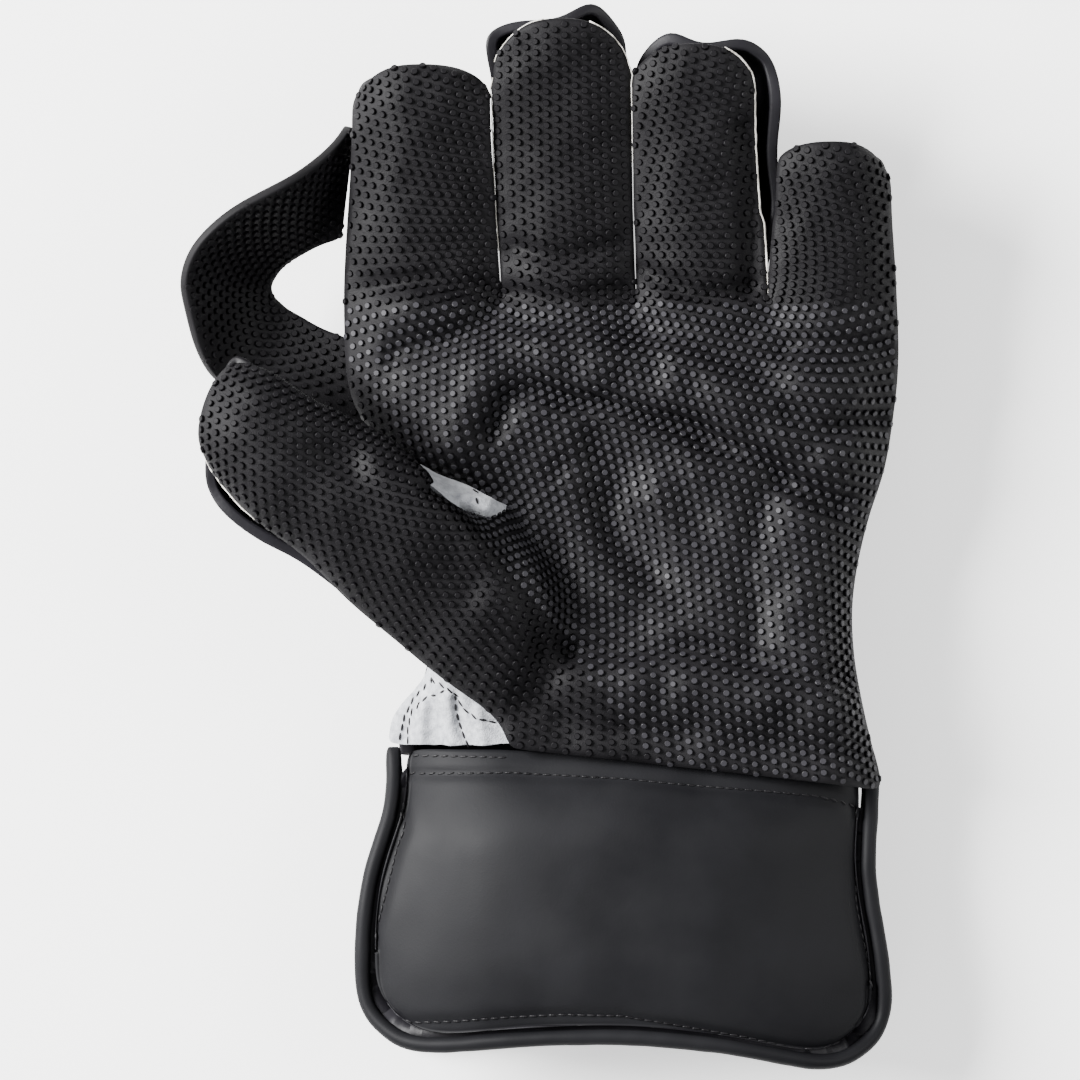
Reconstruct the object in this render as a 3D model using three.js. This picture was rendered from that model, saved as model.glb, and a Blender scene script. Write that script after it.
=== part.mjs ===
// Wicketkeeping glove for the left hand, lying on its back with the palm up.
// Millimetres, +Z up, fingers towards +Y, thumb towards -X. The glove is worked out in a frame
// whose y is 0 at the wrist seam and whose x is 0 on the palm's axis, and is centred at the end.
import * as THREE from "three";
import { mergeVertices } from "three/addons/utils/BufferGeometryUtils.js";

// Driving sizes
const palmWidth = 155; // across the four finger roots
const palmLength = 132; // wrist seam to finger roots
const palmHeight = 44; // floor to the palm's pocket
const padRise = 4; // how far the palm's sewn pads stand up
const sideDrop = 13; // how far the palm rolls down at the little finger's side
const facingThickness = 2.5; // pimpled rubber and its cloth backing, without the pimples
const stallThickness = 3; // padded leather of the finger and thumb stalls
const stallDepth = 24; // rim to back of a finger stall
const thumbLength = 104; // along the thumb, from the middle of its root
const thumbWidth = 39; // across the thumb facing
const thumbAngle = 144; // degrees from +X, seen from above
const thumbHeight = 63; // floor to the edges of the thumb facing near the tip
const thumbCrown = 11; // how far the thumb facing stands over its edges
const thumbDepth = 25; // rim to back of the thumb stall
const webReach = 46; // how far the web swings out from the index finger
const webThickness = 2.4;
const suedeThickness = 1.6;
const handBackThickness = 4.5; // padded back of the hand
const knuckleLift = 13; // how far the hand back curves up to the finger stalls
const cuffLength = 85; // wrist seam to hem
const cuffTopWidth = 140;
const cuffFlare = 8.6; // how far the thumb's side of the cuff swings out to the hem
const cuffHeight = 47; // floor to the crown of the front panel
const cuffArch = 15; // how far the front panel falls from its crown to its sides
const cuffBackRise = 6; // how far the back panel curves up to its sides
const cuffThickness = 7; // padded panel at its edges
const cuffPadding = 2.5; // more thickness in the middle of a panel
const cuffWave = 5; // sweep of the hem
const cuffCorner = 12; // rounding of the hem's corners
const pipingDiameter = 5;
const gussetThickness = 2;
const seamGap = 0.4; // clearance between neighbouring pieces

// Smaller sizes of the rolls, rims and seams
const thumbSideDrop = 8; // how far the palm rolls down beside the fork of the thumb
const thumbSideRoll = 0.14; // share of the palm's width that this roll takes
const rollShare = 0.16; // share of the palm's width, and of its length, that the other rolls take
const fingerSlit = 0.8; // from the edge of a finger's root to the slit beside it
const stallToe = 12; // length of a finger stall's rounded toe
const rootTuck = 0.6; // least step of a stall's rim inside the facing's edge, at the root
const toeTuck = 2; // how far a finger stall's toe lies below the facing
const leftEarAt = 0.2; // where the ears stand across a toe, and how wide they are
const rightEarAt = 0.76;
const earSpread = 0.16;
const thumbInnerTuck = 1.4; // thumb stall's rim inside the facing, on the index finger's side
const thumbOuterTuck = 0.8; // the same on the outer side, near the root
const thumbOuterSwing = 3.4; // how much further out the outer rim lies near the tip
const thumbToeShare = 0.115; // length of the thumb stall's toe, as a share of thumbLength
const thumbToeTuck = 2.5; // how far the thumb stall's toe lies below the facing
const thumbRootTurn = [0.03, 0.82]; // part of the thumb stall's section that the thumb's root follows
const thumbRootFoot = [0.37, 0.66]; // part of the hand back's rim that it stands on
const thumbRootSetback = 1.8 * stallThickness; // from the thumb stall's open end
const thumbRootLift = 5 * seamGap; // from the hand back's rim
const webDip = 4; // how far the web sags between its edges
const wristSeam = [0.05, 0.12, 0.2, 0.27, 0.33]; // where the wrist gusset's top meets the thumb
const wristFoot = [0.03, 0.35]; // part of the hand back's rim that its foot follows
const forkPalmSide = [0.5, 0.56, 0.62, 0.68, 0.74, 0.8]; // where the fork gusset meets the palm
const forkThumbSide = [0.1, 0.16, 0.21, 0.26]; // and where it meets the thumb
const forkFloor = [0.75, 0.86]; // its height there, as shares of palmHeight
const wristTuck = 2.4; // wrist gusset's top below the facing's underside
const forkTuck = 3; // fork gusset's edge below the palm facing's underside
const forkEndTuck = 3.5; // the same where the slit ends
const cuffHemDip = 1.5; // how far the front panel falls to the hem
const cuffBulge = 1.5; // how far a cuff gusset bows out

// Powers that make the sections squarer than a circle
const troughPower = 0.75;
const toePower = 0.85;
const backPower = 0.7;
const backDepthPower = 0.55;

// One row for each finger. rootShare is its part of the palm's width. length runs from the
// finger root to the tip. lean moves the tip's middle sideways. The drops are how far the facing
// falls to its edges, and the corners how far its tip is rounded off. reach, leftOver and
// rightOver are how far the leather stall stands past the facing, and the ears how much further
// the two corners of its toe reach.
const fingers = [
  {
    name: "index", rootShare: 0.284, length: 66, tipWidth: 38, lean: -0.5, lift: 13, tipRoll: 6,
    leftDrop: 8, rightDrop: 7, leftCorner: 9, rightCorner: 5,
    reach: -2.5, leftOver: -1.1, rightOver: -0.8, leftEar: 0, rightEar: 0,
  },
  {
    name: "middle", rootShare: 0.245, length: 78.5, tipWidth: 38, lean: -2.2, lift: 11, tipRoll: 1.5,
    leftDrop: 5, rightDrop: 6, leftCorner: 11, rightCorner: 10,
    reach: -0.8, leftOver: 0.4, rightOver: -0.4, leftEar: 0.8, rightEar: 5.2,
  },
  {
    name: "ring", rootShare: 0.2355, length: 71.5, tipWidth: 34, lean: -2.5, lift: 11, tipRoll: 2.5,
    leftDrop: 6, rightDrop: 4, leftCorner: 7, rightCorner: 8,
    reach: -0.8, leftOver: -0.3, rightOver: 4.5, leftEar: 2.6, rightEar: 1.4,
  },
  {
    name: "little", rootShare: 0.2355, length: 44.5, tipWidth: 32.5, lean: 0.2, lift: 8, tipRoll: 3,
    leftDrop: 5, rightDrop: 11, leftCorner: 4, rightCorner: 9,
    reach: -2.5, leftOver: -2.6, rightOver: -1.1, leftEar: 0, rightEar: 0,
  },
];

// How finely the sheets are divided
const fingerColumns = 6;
const rowsBelowSlit = 10; // also the columns of the thumb
const rowsAboveSlit = 9;
const thumbRows = 13;
const thumbRowCrowding = 1.25; // above 1, the rows are closer near the crease
const fingerRowLength = 6.4;

// The palm facing's two edges from the wrist seam to the finger roots. x is a share of palmWidth
// from the palm's axis, y a share of palmLength from the wrist seam.
const palmEdges = [
  { at: 0, leftX: -0.202, leftY: 0.05, rightX: 0.482, rightY: -0.039 },
  { at: 0.07, leftX: -0.181, leftY: 0.126, rightX: 0.45, rightY: 0.088 },
  { at: 0.14, leftX: -0.135, leftY: 0.194, rightX: 0.439, rightY: 0.151 },
  { at: 0.2, leftX: -0.101, leftY: 0.258, rightX: 0.428, rightY: 0.215 },
  { at: 0.27, leftX: -0.09, leftY: 0.332, rightX: 0.422, rightY: 0.29 },
  { at: 0.34, leftX: -0.108, leftY: 0.417, rightX: 0.422, rightY: 0.36 },
  { at: 0.41, leftX: -0.148, leftY: 0.484, rightX: 0.43, rightY: 0.43 },
  { at: 0.47, leftX: -0.19, leftY: 0.533, rightX: 0.442, rightY: 0.495 },
  { at: 0.53, leftX: -0.235, leftY: 0.571, rightX: 0.457, rightY: 0.56 },
  { at: 0.6, leftX: -0.289, leftY: 0.606, rightX: 0.472, rightY: 0.61 },
  { at: 0.66, leftX: -0.35, leftY: 0.631, rightX: 0.484, rightY: 0.66 },
  { at: 0.73, leftX: -0.4245, leftY: 0.686, rightX: 0.493, rightY: 0.724 },
  { at: 0.8, leftX: -0.473, leftY: 0.755, rightX: 0.499, rightY: 0.78 },
  { at: 0.87, leftX: -0.495, leftY: 0.82, rightX: 0.504, rightY: 0.835 },
  { at: 0.93, leftX: -0.5, leftY: 0.9, rightX: 0.506, rightY: 0.905 },
  { at: 1, leftX: -0.502, leftY: 1, rightX: 0.502, rightY: 1 },
];
const slitAt = 0.53; // where the slit between thumb and palm ends

// The palm's long section: how high it stands, as a share of padRise.
const palmSection = [
  { at: 0, rise: -0.6 },
  { at: 0.12, rise: 0.1 },
  { at: 0.3, rise: -0.1 },
  { at: 0.5, rise: -0.6 },
  { at: 0.66, rise: -0.2 },
  { at: 0.85, rise: 0.5 },
  { at: 1, rise: 0.6 },
];

// Sewn pads and dishes of the palm. Path points are shares of palmWidth and palmLength, halfWidth
// a share of palmWidth and rise a share of padRise.
const palmPads = [
  {
    name: "knuckle pad", halfWidth: 0.13, rise: 0.7,
    path: [[-0.298, 0.703], [-0.271, 0.82], [-0.181, 0.877], [-0.036, 0.877], [0.108, 0.834],
      [0.253, 0.762], [0.415, 0.639]],
  },
  { name: "heel pad", halfWidth: 0.13, rise: 0.7, path: [[-0.036, 0.173], [0.181, 0.151], [0.4, 0.12]] },
  { name: "pocket dish", halfWidth: 0.17, rise: -0.7, path: [[0.063, 0.491], [0.02, 0.56]] },
];

// The thumb facing's two edges and its tip, in shares of thumbLength along the thumb and of
// thumbWidth across it. Their first points are the ends of the palm's own edge.
const thumbUpperEdge = [[0.266, 0.566], [0.317, 0.486], [0.38, 0.524], [0.52, 0.635], [0.658, 0.582],
  [0.778, 0.527], [0.919, 0.522], [0.998, 0.408]];
const thumbLowerEdge = [[-0.154, -0.559], [-0.059, -0.548], [0.063, -0.551], [0.179, -0.526],
  [0.276, -0.51], [0.384, -0.489], [0.524, -0.412], [0.63, -0.412], [0.708, -0.419],
  [0.795, -0.376], [0.87, -0.309]];
const thumbTip = [[0.998, 0.408], [1.005, 0.22], [0.985, 0], [0.945, -0.19], [0.87, -0.309]];

// Height of the thumb's edges, as shares of thumbHeight, and of its crown over them, as a share
// of thumbCrown. at runs from the thumb's root to its tip.
const thumbSection = [
  { at: 0, upper: 0.66, lower: 0.64, crown: 1.15 },
  { at: 0.15, upper: 0.74, lower: 0.68, crown: 1.25 },
  { at: 0.3, upper: 0.88, lower: 0.74, crown: 1.15 },
  { at: 0.5, upper: 0.96, lower: 0.84, crown: 0.95 },
  { at: 0.75, upper: 1, lower: 0.93, crown: 0.85 },
  { at: 0.92, upper: 0.99, lower: 0.95, crown: 0.85 },
  { at: 1, upper: 0.93, lower: 0.92, crown: 0.6 },
];
const thumbStallAt = 0.37; // where the leather thumb stall starts
const thumbFootShare = 0.1; // the steep foot of the thumb beside the crease

// The web's outer and inner edges. out is the share of webReach to the left of the index finger,
// up a share of palmLength from the wrist seam, high a share of palmHeight.
const webEdges = [
  { outerOut: 0, outerUp: 1.385, outerHigh: 0.8, innerOut: 0, innerUp: 1.14, innerHigh: 0.6 },
  { outerOut: 0.09, outerUp: 1.335, outerHigh: 0.98, innerOut: 0.14, innerUp: 1.128, innerHigh: 0.62 },
  { outerOut: 0.32, outerUp: 1.265, outerHigh: 1.2, innerOut: 0.26, innerUp: 1.112, innerHigh: 0.62 },
  { outerOut: 0.68, outerUp: 1.199, outerHigh: 1.25, innerOut: 0.37, innerUp: 1.09, innerHigh: 0.6 },
  { outerOut: 0.93, outerUp: 1.115, outerHigh: 1.2, innerOut: 0.44, innerUp: 1.063, innerHigh: 0.56 },
  { outerOut: 1, outerUp: 1.03, outerHigh: 1.12, innerOut: 0.475, innerUp: 1.037, innerHigh: 0.53 },
  { outerOut: 0.975, outerUp: 0.955, outerHigh: 1.04, innerOut: 0.455, innerUp: 1.008, innerHigh: 0.52 },
  { outerOut: 0.91, outerUp: 0.868, outerHigh: 0.9, innerOut: 0.395, innerUp: 0.985, innerHigh: 0.52 },
  { outerOut: 0.78, outerUp: 0.812, outerHigh: 0.74, innerOut: 0.295, innerUp: 0.968, innerHigh: 0.54 },
  { outerOut: 0.42, outerUp: 0.792, outerHigh: 0.68, innerOut: 0.17, innerUp: 0.943, innerHigh: 0.56 },
  { outerOut: 0, outerUp: 0.752, outerHigh: 0.62, innerOut: 0, innerUp: 0.922, innerHigh: 0.58 },
];

// The hand back's left rim: x and y as in palmEdges, high a share of palmHeight.
const handRim = [
  { at: 0, x: -0.412, y: 0.03, high: 0.3 },
  { at: 0.08, x: -0.402, y: 0.09, high: 0.34 },
  { at: 0.17, x: -0.376, y: 0.15, high: 0.42 },
  { at: 0.25, x: -0.352, y: 0.21, high: 0.52 },
  { at: 0.33, x: -0.346, y: 0.27, high: 0.56 },
  { at: 0.42, x: -0.352, y: 0.35, high: 0.56 },
  { at: 0.5, x: -0.37, y: 0.44, high: 0.56 },
  { at: 0.6, x: -0.395, y: 0.55, high: 0.58 },
  { at: 0.7, x: -0.43, y: 0.66, high: 0.66 },
  { at: 0.8, x: -0.465, y: 0.76, high: 0.76 },
  { at: 0.9, x: -0.483, y: 0.88, high: 0.79 },
  { at: 1, x: -0.486, y: 1, high: 0.79 },
];

// The cuff's side lines from the wrist seam to the hem: how far each side swings out, as a share
// of cuffFlare.
const cuffSides = [
  { at: 0, left: 0, right: 0 },
  { at: 0.2, left: 0, right: -0.06 },
  { at: 0.32, left: 0.25, right: -0.16 },
  { at: 0.44, left: 0.6, right: -0.13 },
  { at: 0.58, left: 0.86, right: 0.03 },
  { at: 0.72, left: 1, right: 0.25 },
  { at: 0.85, left: 1, right: 0.36 },
  { at: 1, left: 0.96, right: 0.36 },
];
// The hem's sweep across the cuff, as a share of cuffWave.
const cuffHem = [
  { at: 0, sweep: 1.1 },
  { at: 0.1, sweep: 1 },
  { at: 0.29, sweep: 1.5 },
  { at: 0.49, sweep: 1.68 },
  { at: 0.68, sweep: 1.2 },
  { at: 0.8, sweep: 0.55 },
  { at: 0.88, sweep: 0.05 },
  { at: 1, sweep: 0 },
];

// Small helpers
const { lerp, clamp, degToRad } = THREE.MathUtils;
const point = (x, y, z) => new THREE.Vector3(x, y, z);
const steps = (count) => Array.from({ length: count + 1 }, (_, i) => i / count);
const ease = (t) => THREE.MathUtils.smoothstep(t, 0, 1);

// A column of a table as a smooth function of its at column.
function read(table, column, at) {
  const last = table.length - 1;
  let i = table.findIndex((row, k) => k < last && at <= table[k + 1].at);
  if (i < 0) i = last - 1;
  const slope = (k) => {
    const a = table[Math.max(k - 1, 0)];
    const b = table[Math.min(k + 1, last)];
    return (b[column] - a[column]) / (b.at - a.at);
  };
  const [p, q] = [table[i], table[i + 1]];
  const span = q.at - p.at;
  const t = clamp((at - p.at) / span, 0, 1);
  const rise = q[column] - p[column];
  return (
    p[column] + rise * t * t * (3 - 2 * t) +
    span * (slope(i) * t * (1 - t) ** 2 - slope(i + 1) * t * t * (1 - t))
  );
}

// Distance in the plane from a place to a run of straight lines.
function distanceToPath(x, y, path) {
  let nearest = Infinity;
  for (let i = 0; i + 1 < path.length; i++) {
    const [ax, ay] = path[i];
    const [bx, by] = path[i + 1];
    const [dx, dy] = [bx - ax, by - ay];
    const t = clamp(((x - ax) * dx + (y - ay) * dy) / (dx * dx + dy * dy), 0, 1);
    nearest = Math.min(nearest, Math.hypot(x - ax - dx * t, y - ay - dy * t));
  }
  return nearest;
}

// A surface made of grids of points. solid() gives it a wall on the side away from its face.
class Surface {
  corners = [];

  grid(rows, turned = false) {
    for (let r = 0; r + 1 < rows.length; r++)
      for (let c = 0; c + 1 < rows[r].length; c++) {
        const quad = [rows[r][c], rows[r][c + 1], rows[r + 1][c + 1], rows[r + 1][c]];
        if (turned) quad.reverse();
        this.corners.push(quad[0], quad[1], quad[2], quad[0], quad[2], quad[3]);
      }
    return this;
  }

  solid(thickness) {
    const loose = new THREE.BufferGeometry().setFromPoints(this.corners);
    const merged = mergeVertices(loose, 1e-3);
    const faces = [];
    for (let i = 0; i < merged.index.count; i += 3) {
      const face = [0, 1, 2].map((k) => merged.index.getX(i + k));
      if (new Set(face).size === 3) faces.push(face);
    }
    merged.setIndex(faces.flat());
    merged.computeVertexNormals();
    const { position, normal } = merged.attributes;
    const count = position.count;
    const vertices = [...position.array];
    for (let i = 0; i < count; i++) {
      vertices.push(
        position.getX(i) - normal.getX(i) * thickness,
        position.getY(i) - normal.getY(i) * thickness,
        position.getZ(i) - normal.getZ(i) * thickness,
      );
    }
    const sides = new Set(faces.flatMap(([a, b, c]) => [`${a},${b}`, `${b},${c}`, `${c},${a}`]));
    const index = faces.flat();
    for (const [a, b, c] of faces) index.push(a + count, c + count, b + count);
    for (const side of sides) {
      const [a, b] = side.split(",").map(Number);
      if (!sides.has(`${b},${a}`)) index.push(b, a, a + count, b, a + count, b + count);
    }
    return new THREE.BufferGeometry()
      .setAttribute("position", new THREE.Float32BufferAttribute(vertices, 3))
      .setIndex(index);
  }
}

// The palm facing
const shares = fingers.map((finger) => finger.rootShare);
const rootStarts = shares.map((_, i) => shares.slice(0, i).reduce((a, b) => a + b, 0));
const columnCount = fingers.length * fingerColumns;

// Which finger a column of the palm leads to, and where across that finger it lies.
function fingerAt(column) {
  const i = Math.min(Math.floor(column / fingerColumns), fingers.length - 1);
  return { finger: fingers[i], start: rootStarts[i], within: column / fingerColumns - i };
}

function palmEdge(side, at) {
  return point(
    read(palmEdges, side + "X", at) * palmWidth,
    read(palmEdges, side + "Y", at) * palmLength,
    0,
  );
}

// How far a finger's facing falls below its middle, at a place across it from 0 to 1.
function sectionDrop(finger, within) {
  const out = 2 * within - 1;
  return (out < 0 ? finger.leftDrop : finger.rightDrop) * Math.abs(out) ** 2.4;
}

function palmTop(x, y, across, at, finger, within) {
  let rise = read(palmSection, "rise", at) * padRise;
  for (const pad of palmPads) {
    const path = pad.path.map(([px, py]) => [px * palmWidth, py * palmLength]);
    const t = distanceToPath(x, y, path) / (pad.halfWidth * palmWidth);
    if (t < 1) rise += pad.rise * padRise * (1 - t * t) ** 2;
  }
  const nearRoots = ease((at - 1) / rollShare + 1);
  const besideFork = clamp(1 - across / thumbSideRoll, 0, 1) ** 2;
  const leftRoll = thumbSideDrop * besideFork * ease((at - slitAt) / 0.12);
  const rightRoll = sideDrop * clamp((across - 1) / rollShare + 1, 0, 1) ** 2;
  const roll = lerp(leftRoll + rightRoll, sectionDrop(finger, within), nearRoots);
  return palmHeight + rise - roll;
}

function palmPoint(column, at) {
  const { finger, start, within } = fingerAt(column);
  const across = start + within * finger.rootShare;
  const place = palmEdge("left", at).lerp(palmEdge("right", at), across);
  place.z = palmTop(place.x, place.y, across, at, finger, within);
  return place;
}

// A point of a finger's facing: within goes across it and along from its root to its tip.
function fingerPoint(i, within, along) {
  const finger = fingers[i];
  const left = palmEdge("left", 1);
  const right = palmEdge("right", 1);
  const rootLeft = lerp(left.x, right.x, rootStarts[i]);
  const rootRight = lerp(left.x, right.x, rootStarts[i] + finger.rootShare);
  const middle = (rootLeft + rootRight) / 2 + finger.lean;
  const spread = ease(along * 1.15) * 0.85 + along * 0.15;
  const slit = fingerSlit * clamp(along * 8, 0, 1);
  const leftSlit = i > 0 ? slit : 0;
  const rightSlit = i < fingers.length - 1 ? slit : 0;
  const edgeLeft = lerp(rootLeft + leftSlit, middle - finger.tipWidth / 2, spread);
  const edgeRight = lerp(rootRight - rightSlit, middle + finger.tipWidth / 2, spread);
  const out = 2 * within - 1;
  const corner = (out < 0 ? finger.leftCorner : finger.rightCorner) * Math.abs(out) ** 3.2;
  const rise = finger.lift * along ** 1.5 - finger.tipRoll * clamp((along - 0.8) / 0.2, 0, 1) ** 2;
  const root = palmPoint((i + within) * fingerColumns, 1);
  return point(
    lerp(edgeLeft, edgeRight, within),
    root.y + along * (finger.length - corner),
    root.z + rise,
  );
}

// Thumb frame: along its axis, and across it towards the index finger.
const slitEnd = palmPoint(0, slitAt);
const heelCorner = palmPoint(0, 0);
const thumbRoot = slitEnd.clone().lerp(heelCorner, 0.5).setZ(0);
const thumbAxis = point(Math.cos(degToRad(thumbAngle)), Math.sin(degToRad(thumbAngle)), 0);
const thumbSide = point(Math.sin(degToRad(thumbAngle)), -Math.cos(degToRad(thumbAngle)), 0);
const thumbPlace = ([along, across]) =>
  thumbRoot
    .clone()
    .addScaledVector(thumbAxis, along * thumbLength)
    .addScaledVector(thumbSide, across * thumbWidth);
const flat = (p) => p.clone().setZ(0);
const upperCurve = new THREE.CatmullRomCurve3([flat(slitEnd), ...thumbUpperEdge.map(thumbPlace)]);
const lowerCurve = new THREE.CatmullRomCurve3([flat(heelCorner), ...thumbLowerEdge.map(thumbPlace)]);
const tipCurve = new THREE.CatmullRomCurve3(thumbTip.map(thumbPlace));

// The palm's own edge beside the crease, from the slit's end (0) to the heel's corner (1).
const creasePoint = (across) => palmPoint(0, slitAt * (1 - across));

// A point of the thumb facing: along from the crease (0) to the tip (1), across from the edge
// beside the index finger (0) to the outer edge (1).
function thumbPoint(along, across) {
  const upper = upperCurve.getPointAt(along);
  const lower = lowerCurve.getPointAt(along);
  const crease = creasePoint(across);
  const tip = tipCurve.getPoint(across);
  const corners = [flat(slitEnd), flat(heelCorner), tipCurve.getPoint(0), tipCurve.getPoint(1)];
  const place = upper.lerp(lower, across).add(flat(crease).lerp(tip, along));
  place.sub(corners[0].lerp(corners[1], across).lerp(corners[2].lerp(corners[3], across), along));
  const edges = lerp(read(thumbSection, "upper", along), read(thumbSection, "lower", along), across);
  const crown = read(thumbSection, "crown", along) * thumbCrown * Math.sin(Math.PI * across) ** 0.75;
  place.z = lerp(crease.z, edges * thumbHeight + crown, ease(along / thumbFootShare));
  return place;
}

function palmFacing() {
  const surface = new Surface();
  const palmRows = [
    ...steps(rowsBelowSlit).map((t) => t * slitAt),
    ...steps(rowsAboveSlit).slice(1).map((t) => lerp(slitAt, 1, t)),
  ];
  const columns = steps(columnCount).map((t) => t * columnCount);
  surface.grid(palmRows.map((at) => columns.map((column) => palmPoint(column, at))));
  fingers.forEach((finger, i) => {
    const row = (along) => steps(fingerColumns).map((within) => fingerPoint(i, within, along));
    surface.grid(steps(Math.round(finger.length / fingerRowLength)).map(row));
  });
  const thumbRow = (along) => steps(rowsBelowSlit).map((across) => thumbPoint(along, across));
  surface.grid(steps(thumbRows).map((t) => thumbRow(t ** thumbRowCrowding)), true);
  return surface.solid(facingThickness);
}

// How far across a trough its section lies at an angle: 0 at the left rim, 1 at the right.
function acrossTrough(angle, power = troughPower) {
  const c = Math.cos(angle);
  return (1 - Math.sign(c) * Math.abs(c) ** power) / 2;
}

// A point of a trough's section between its two rims.
function troughPoint({ left, right }, angle, depth) {
  const place = left.clone().lerp(right, acrossTrough(angle));
  place.z -= depth * Math.sin(angle) ** troughPower;
  return place;
}

// Stalls: a trough from a left rim to a right rim, closed by a rounded toe. rims(along) gives the
// two rims, toe(across) how far it reaches past the last rims, and cover the toe's rim height.
function stall({ rims, depth, toe, cover, forward }) {
  const around = steps(10).map((t) => Math.PI * t);
  const rows = steps(7).map((along) =>
    around.map((angle) => troughPoint(rims(along), angle, depth(along))),
  );
  const { left, right } = rims(1);
  const toeRows = steps(4).slice(1).map((t) =>
    around.map((angle) => {
      const turn = (t * Math.PI) / 2;
      const across = acrossTrough(angle);
      const place = left.clone().lerp(right, across);
      const ahead = Math.sin(angle) ** 0.5 * Math.sin(turn) ** toePower;
      place.addScaledVector(forward, toe(across) * ahead);
      place.z = lerp(place.z, cover(across, ahead), ahead);
      place.z -= depth(1) * Math.sin(angle) ** troughPower * Math.max(Math.cos(turn), 0) ** toePower;
      return place;
    }),
  );
  return new Surface().grid([...rows, ...toeRows], true).solid(stallThickness);
}

// From a facing's upper side straight down to the next piece. Where it slopes, the facing is
// thicker in that direction.
const facingAllowance = facingThickness * 1.3 + seamGap;

function fingerStall(i) {
  const finger = fingers[i];
  const last = 1 - stallToe / finger.length;
  const over = (most, along) => lerp(Math.min(most, -rootTuck), most, ease(along * 1.4));
  const rims = (along) => {
    const at = lerp(seamGap / finger.length, last, along);
    const left = fingerPoint(i, 0, at);
    const right = fingerPoint(i, 1, at);
    left.x -= over(finger.leftOver, along);
    right.x += over(finger.rightOver, along);
    const root = palmPoint((i + 0.5) * fingerColumns, 1);
    left.y = right.y = root.y + seamGap + at * finger.length;
    left.z -= facingAllowance;
    right.z -= facingAllowance;
    return { left, right };
  };
  const ear = (across, middle) => Math.exp(-(((across - middle) / earSpread) ** 2));
  const ears = (across) =>
    finger.leftEar * ear(across, leftEarAt) + finger.rightEar * ear(across, rightEarAt);
  return stall({
    rims,
    depth: (along) => stallDepth * lerp(1, 0.88, along),
    toe: (across) => stallToe + finger.reach + ears(across),
    cover: (across, ahead) =>
      fingerPoint(i, across, lerp(last, 1, ahead)).z - facingAllowance - toeTuck,
    forward: point(0, 1, 0),
  });
}

const thumbStallEnd = 0.9; // where the thumb stall's toe starts, as a share of thumbLength
const thumbStallDepth = (along) => thumbDepth * lerp(0.86, 0.9, along);

function thumbRims(along) {
  const at = lerp(thumbStallAt, thumbStallEnd, along);
  const swing = thumbOuterSwing * ease((along - 0.25) / 0.5);
  const upper = thumbPoint(at, 0).addScaledVector(thumbSide, -thumbInnerTuck);
  const lower = thumbPoint(at, 1).addScaledVector(thumbSide, thumbOuterTuck - swing);
  upper.z -= facingAllowance;
  lower.z -= facingAllowance;
  return { left: lower, right: upper };
}

function thumbStall() {
  return stall({
    rims: thumbRims,
    depth: thumbStallDepth,
    toe: () => thumbLength * thumbToeShare,
    cover: (across, ahead) =>
      thumbPoint(lerp(thumbStallEnd, 1, ahead), 1 - across).z - facingAllowance - thumbToeTuck,
    forward: thumbAxis.clone().addScaledVector(thumbSide, 0.12),
  });
}

// The thumb's root: a sheet from the thumb stall's open end down to the hand back's rim.
function thumbRootSheet() {
  const rows = steps(10).map((t) => {
    const angle = Math.PI * lerp(...thumbRootTurn, t);
    const top = troughPoint(thumbRims(0), angle, thumbStallDepth(0));
    top.addScaledVector(thumbAxis, -thumbRootSetback);
    const foot = handRimPoint(lerp(...thumbRootFoot, t));
    foot.z += thumbRootLift;
    return steps(3).map((s) => top.clone().lerp(foot, s));
  });
  return new Surface().grid(rows, true).solid(gussetThickness);
}

// A point on the hand back's left rim.
function handRimPoint(at) {
  return point(
    read(handRim, "x", at) * palmWidth,
    read(handRim, "y", at) * palmLength,
    read(handRim, "high", at) * palmHeight,
  );
}

// The hand back: a wide trough with a flat bottom on the floor, curving up to the stalls.
function handBack() {
  const rims = (at) => {
    const left = handRimPoint(at);
    const edge = palmPoint(columnCount, at);
    const right = point(edge.x - 1, edge.y, edge.z - facingThickness - 2 * seamGap);
    return { left, right };
  };
  const rowCount = 14;
  const rows = steps(rowCount).map((at) => {
    const { left, right } = rims(Math.max(at, 1 / rowCount));
    if (at === 0) left.y = right.y = handRimPoint(0).y;
    return steps(16).map((t) => {
      const angle = Math.PI * t;
      const place = left.clone().lerp(right, acrossTrough(angle, backPower));
      const floor = knuckleLift * ease((at - 0.7) / 0.3);
      const sink = (place.z - floor + 2.5) * Math.sin(angle) ** backDepthPower;
      place.z = Math.max(place.z - sink, floor);
      return place;
    });
  });
  return new Surface().grid(rows, true).solid(handBackThickness);
}

// The web between the index finger and the thumb.
function web() {
  const table = webEdges.map((row, i) => ({ ...row, at: i / (webEdges.length - 1) }));
  const wall = (y) => {
    const along = clamp((y - palmLength) / fingers[0].length, 0, 0.8);
    const stallWall = fingerPoint(0, 0, along).x - fingers[0].leftOver;
    const handWall = read(handRim, "x", 1 - 0.85 * (1 - y / palmLength)) * palmWidth;
    return y > palmLength ? stallWall - seamGap / 2 : handWall - 2 * seamGap;
  };
  const edge = (kind, at) => {
    const y = read(table, kind + "Up", at) * palmLength;
    const clear = webThickness * (1 - at) ** 2;
    return point(
      wall(y) - clear - read(table, kind + "Out", at) * webReach,
      y,
      read(table, kind + "High", at) * palmHeight,
    );
  };
  const rows = steps(20).map((at) =>
    steps(5).map((t) => {
      const place = edge("inner", at).lerp(edge("outer", at), t);
      place.z -= webDip * Math.sin(Math.PI * t) * Math.sin(Math.PI * at);
      return place;
    }),
  );
  return new Surface().grid(rows, true).solid(webThickness);
}

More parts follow.
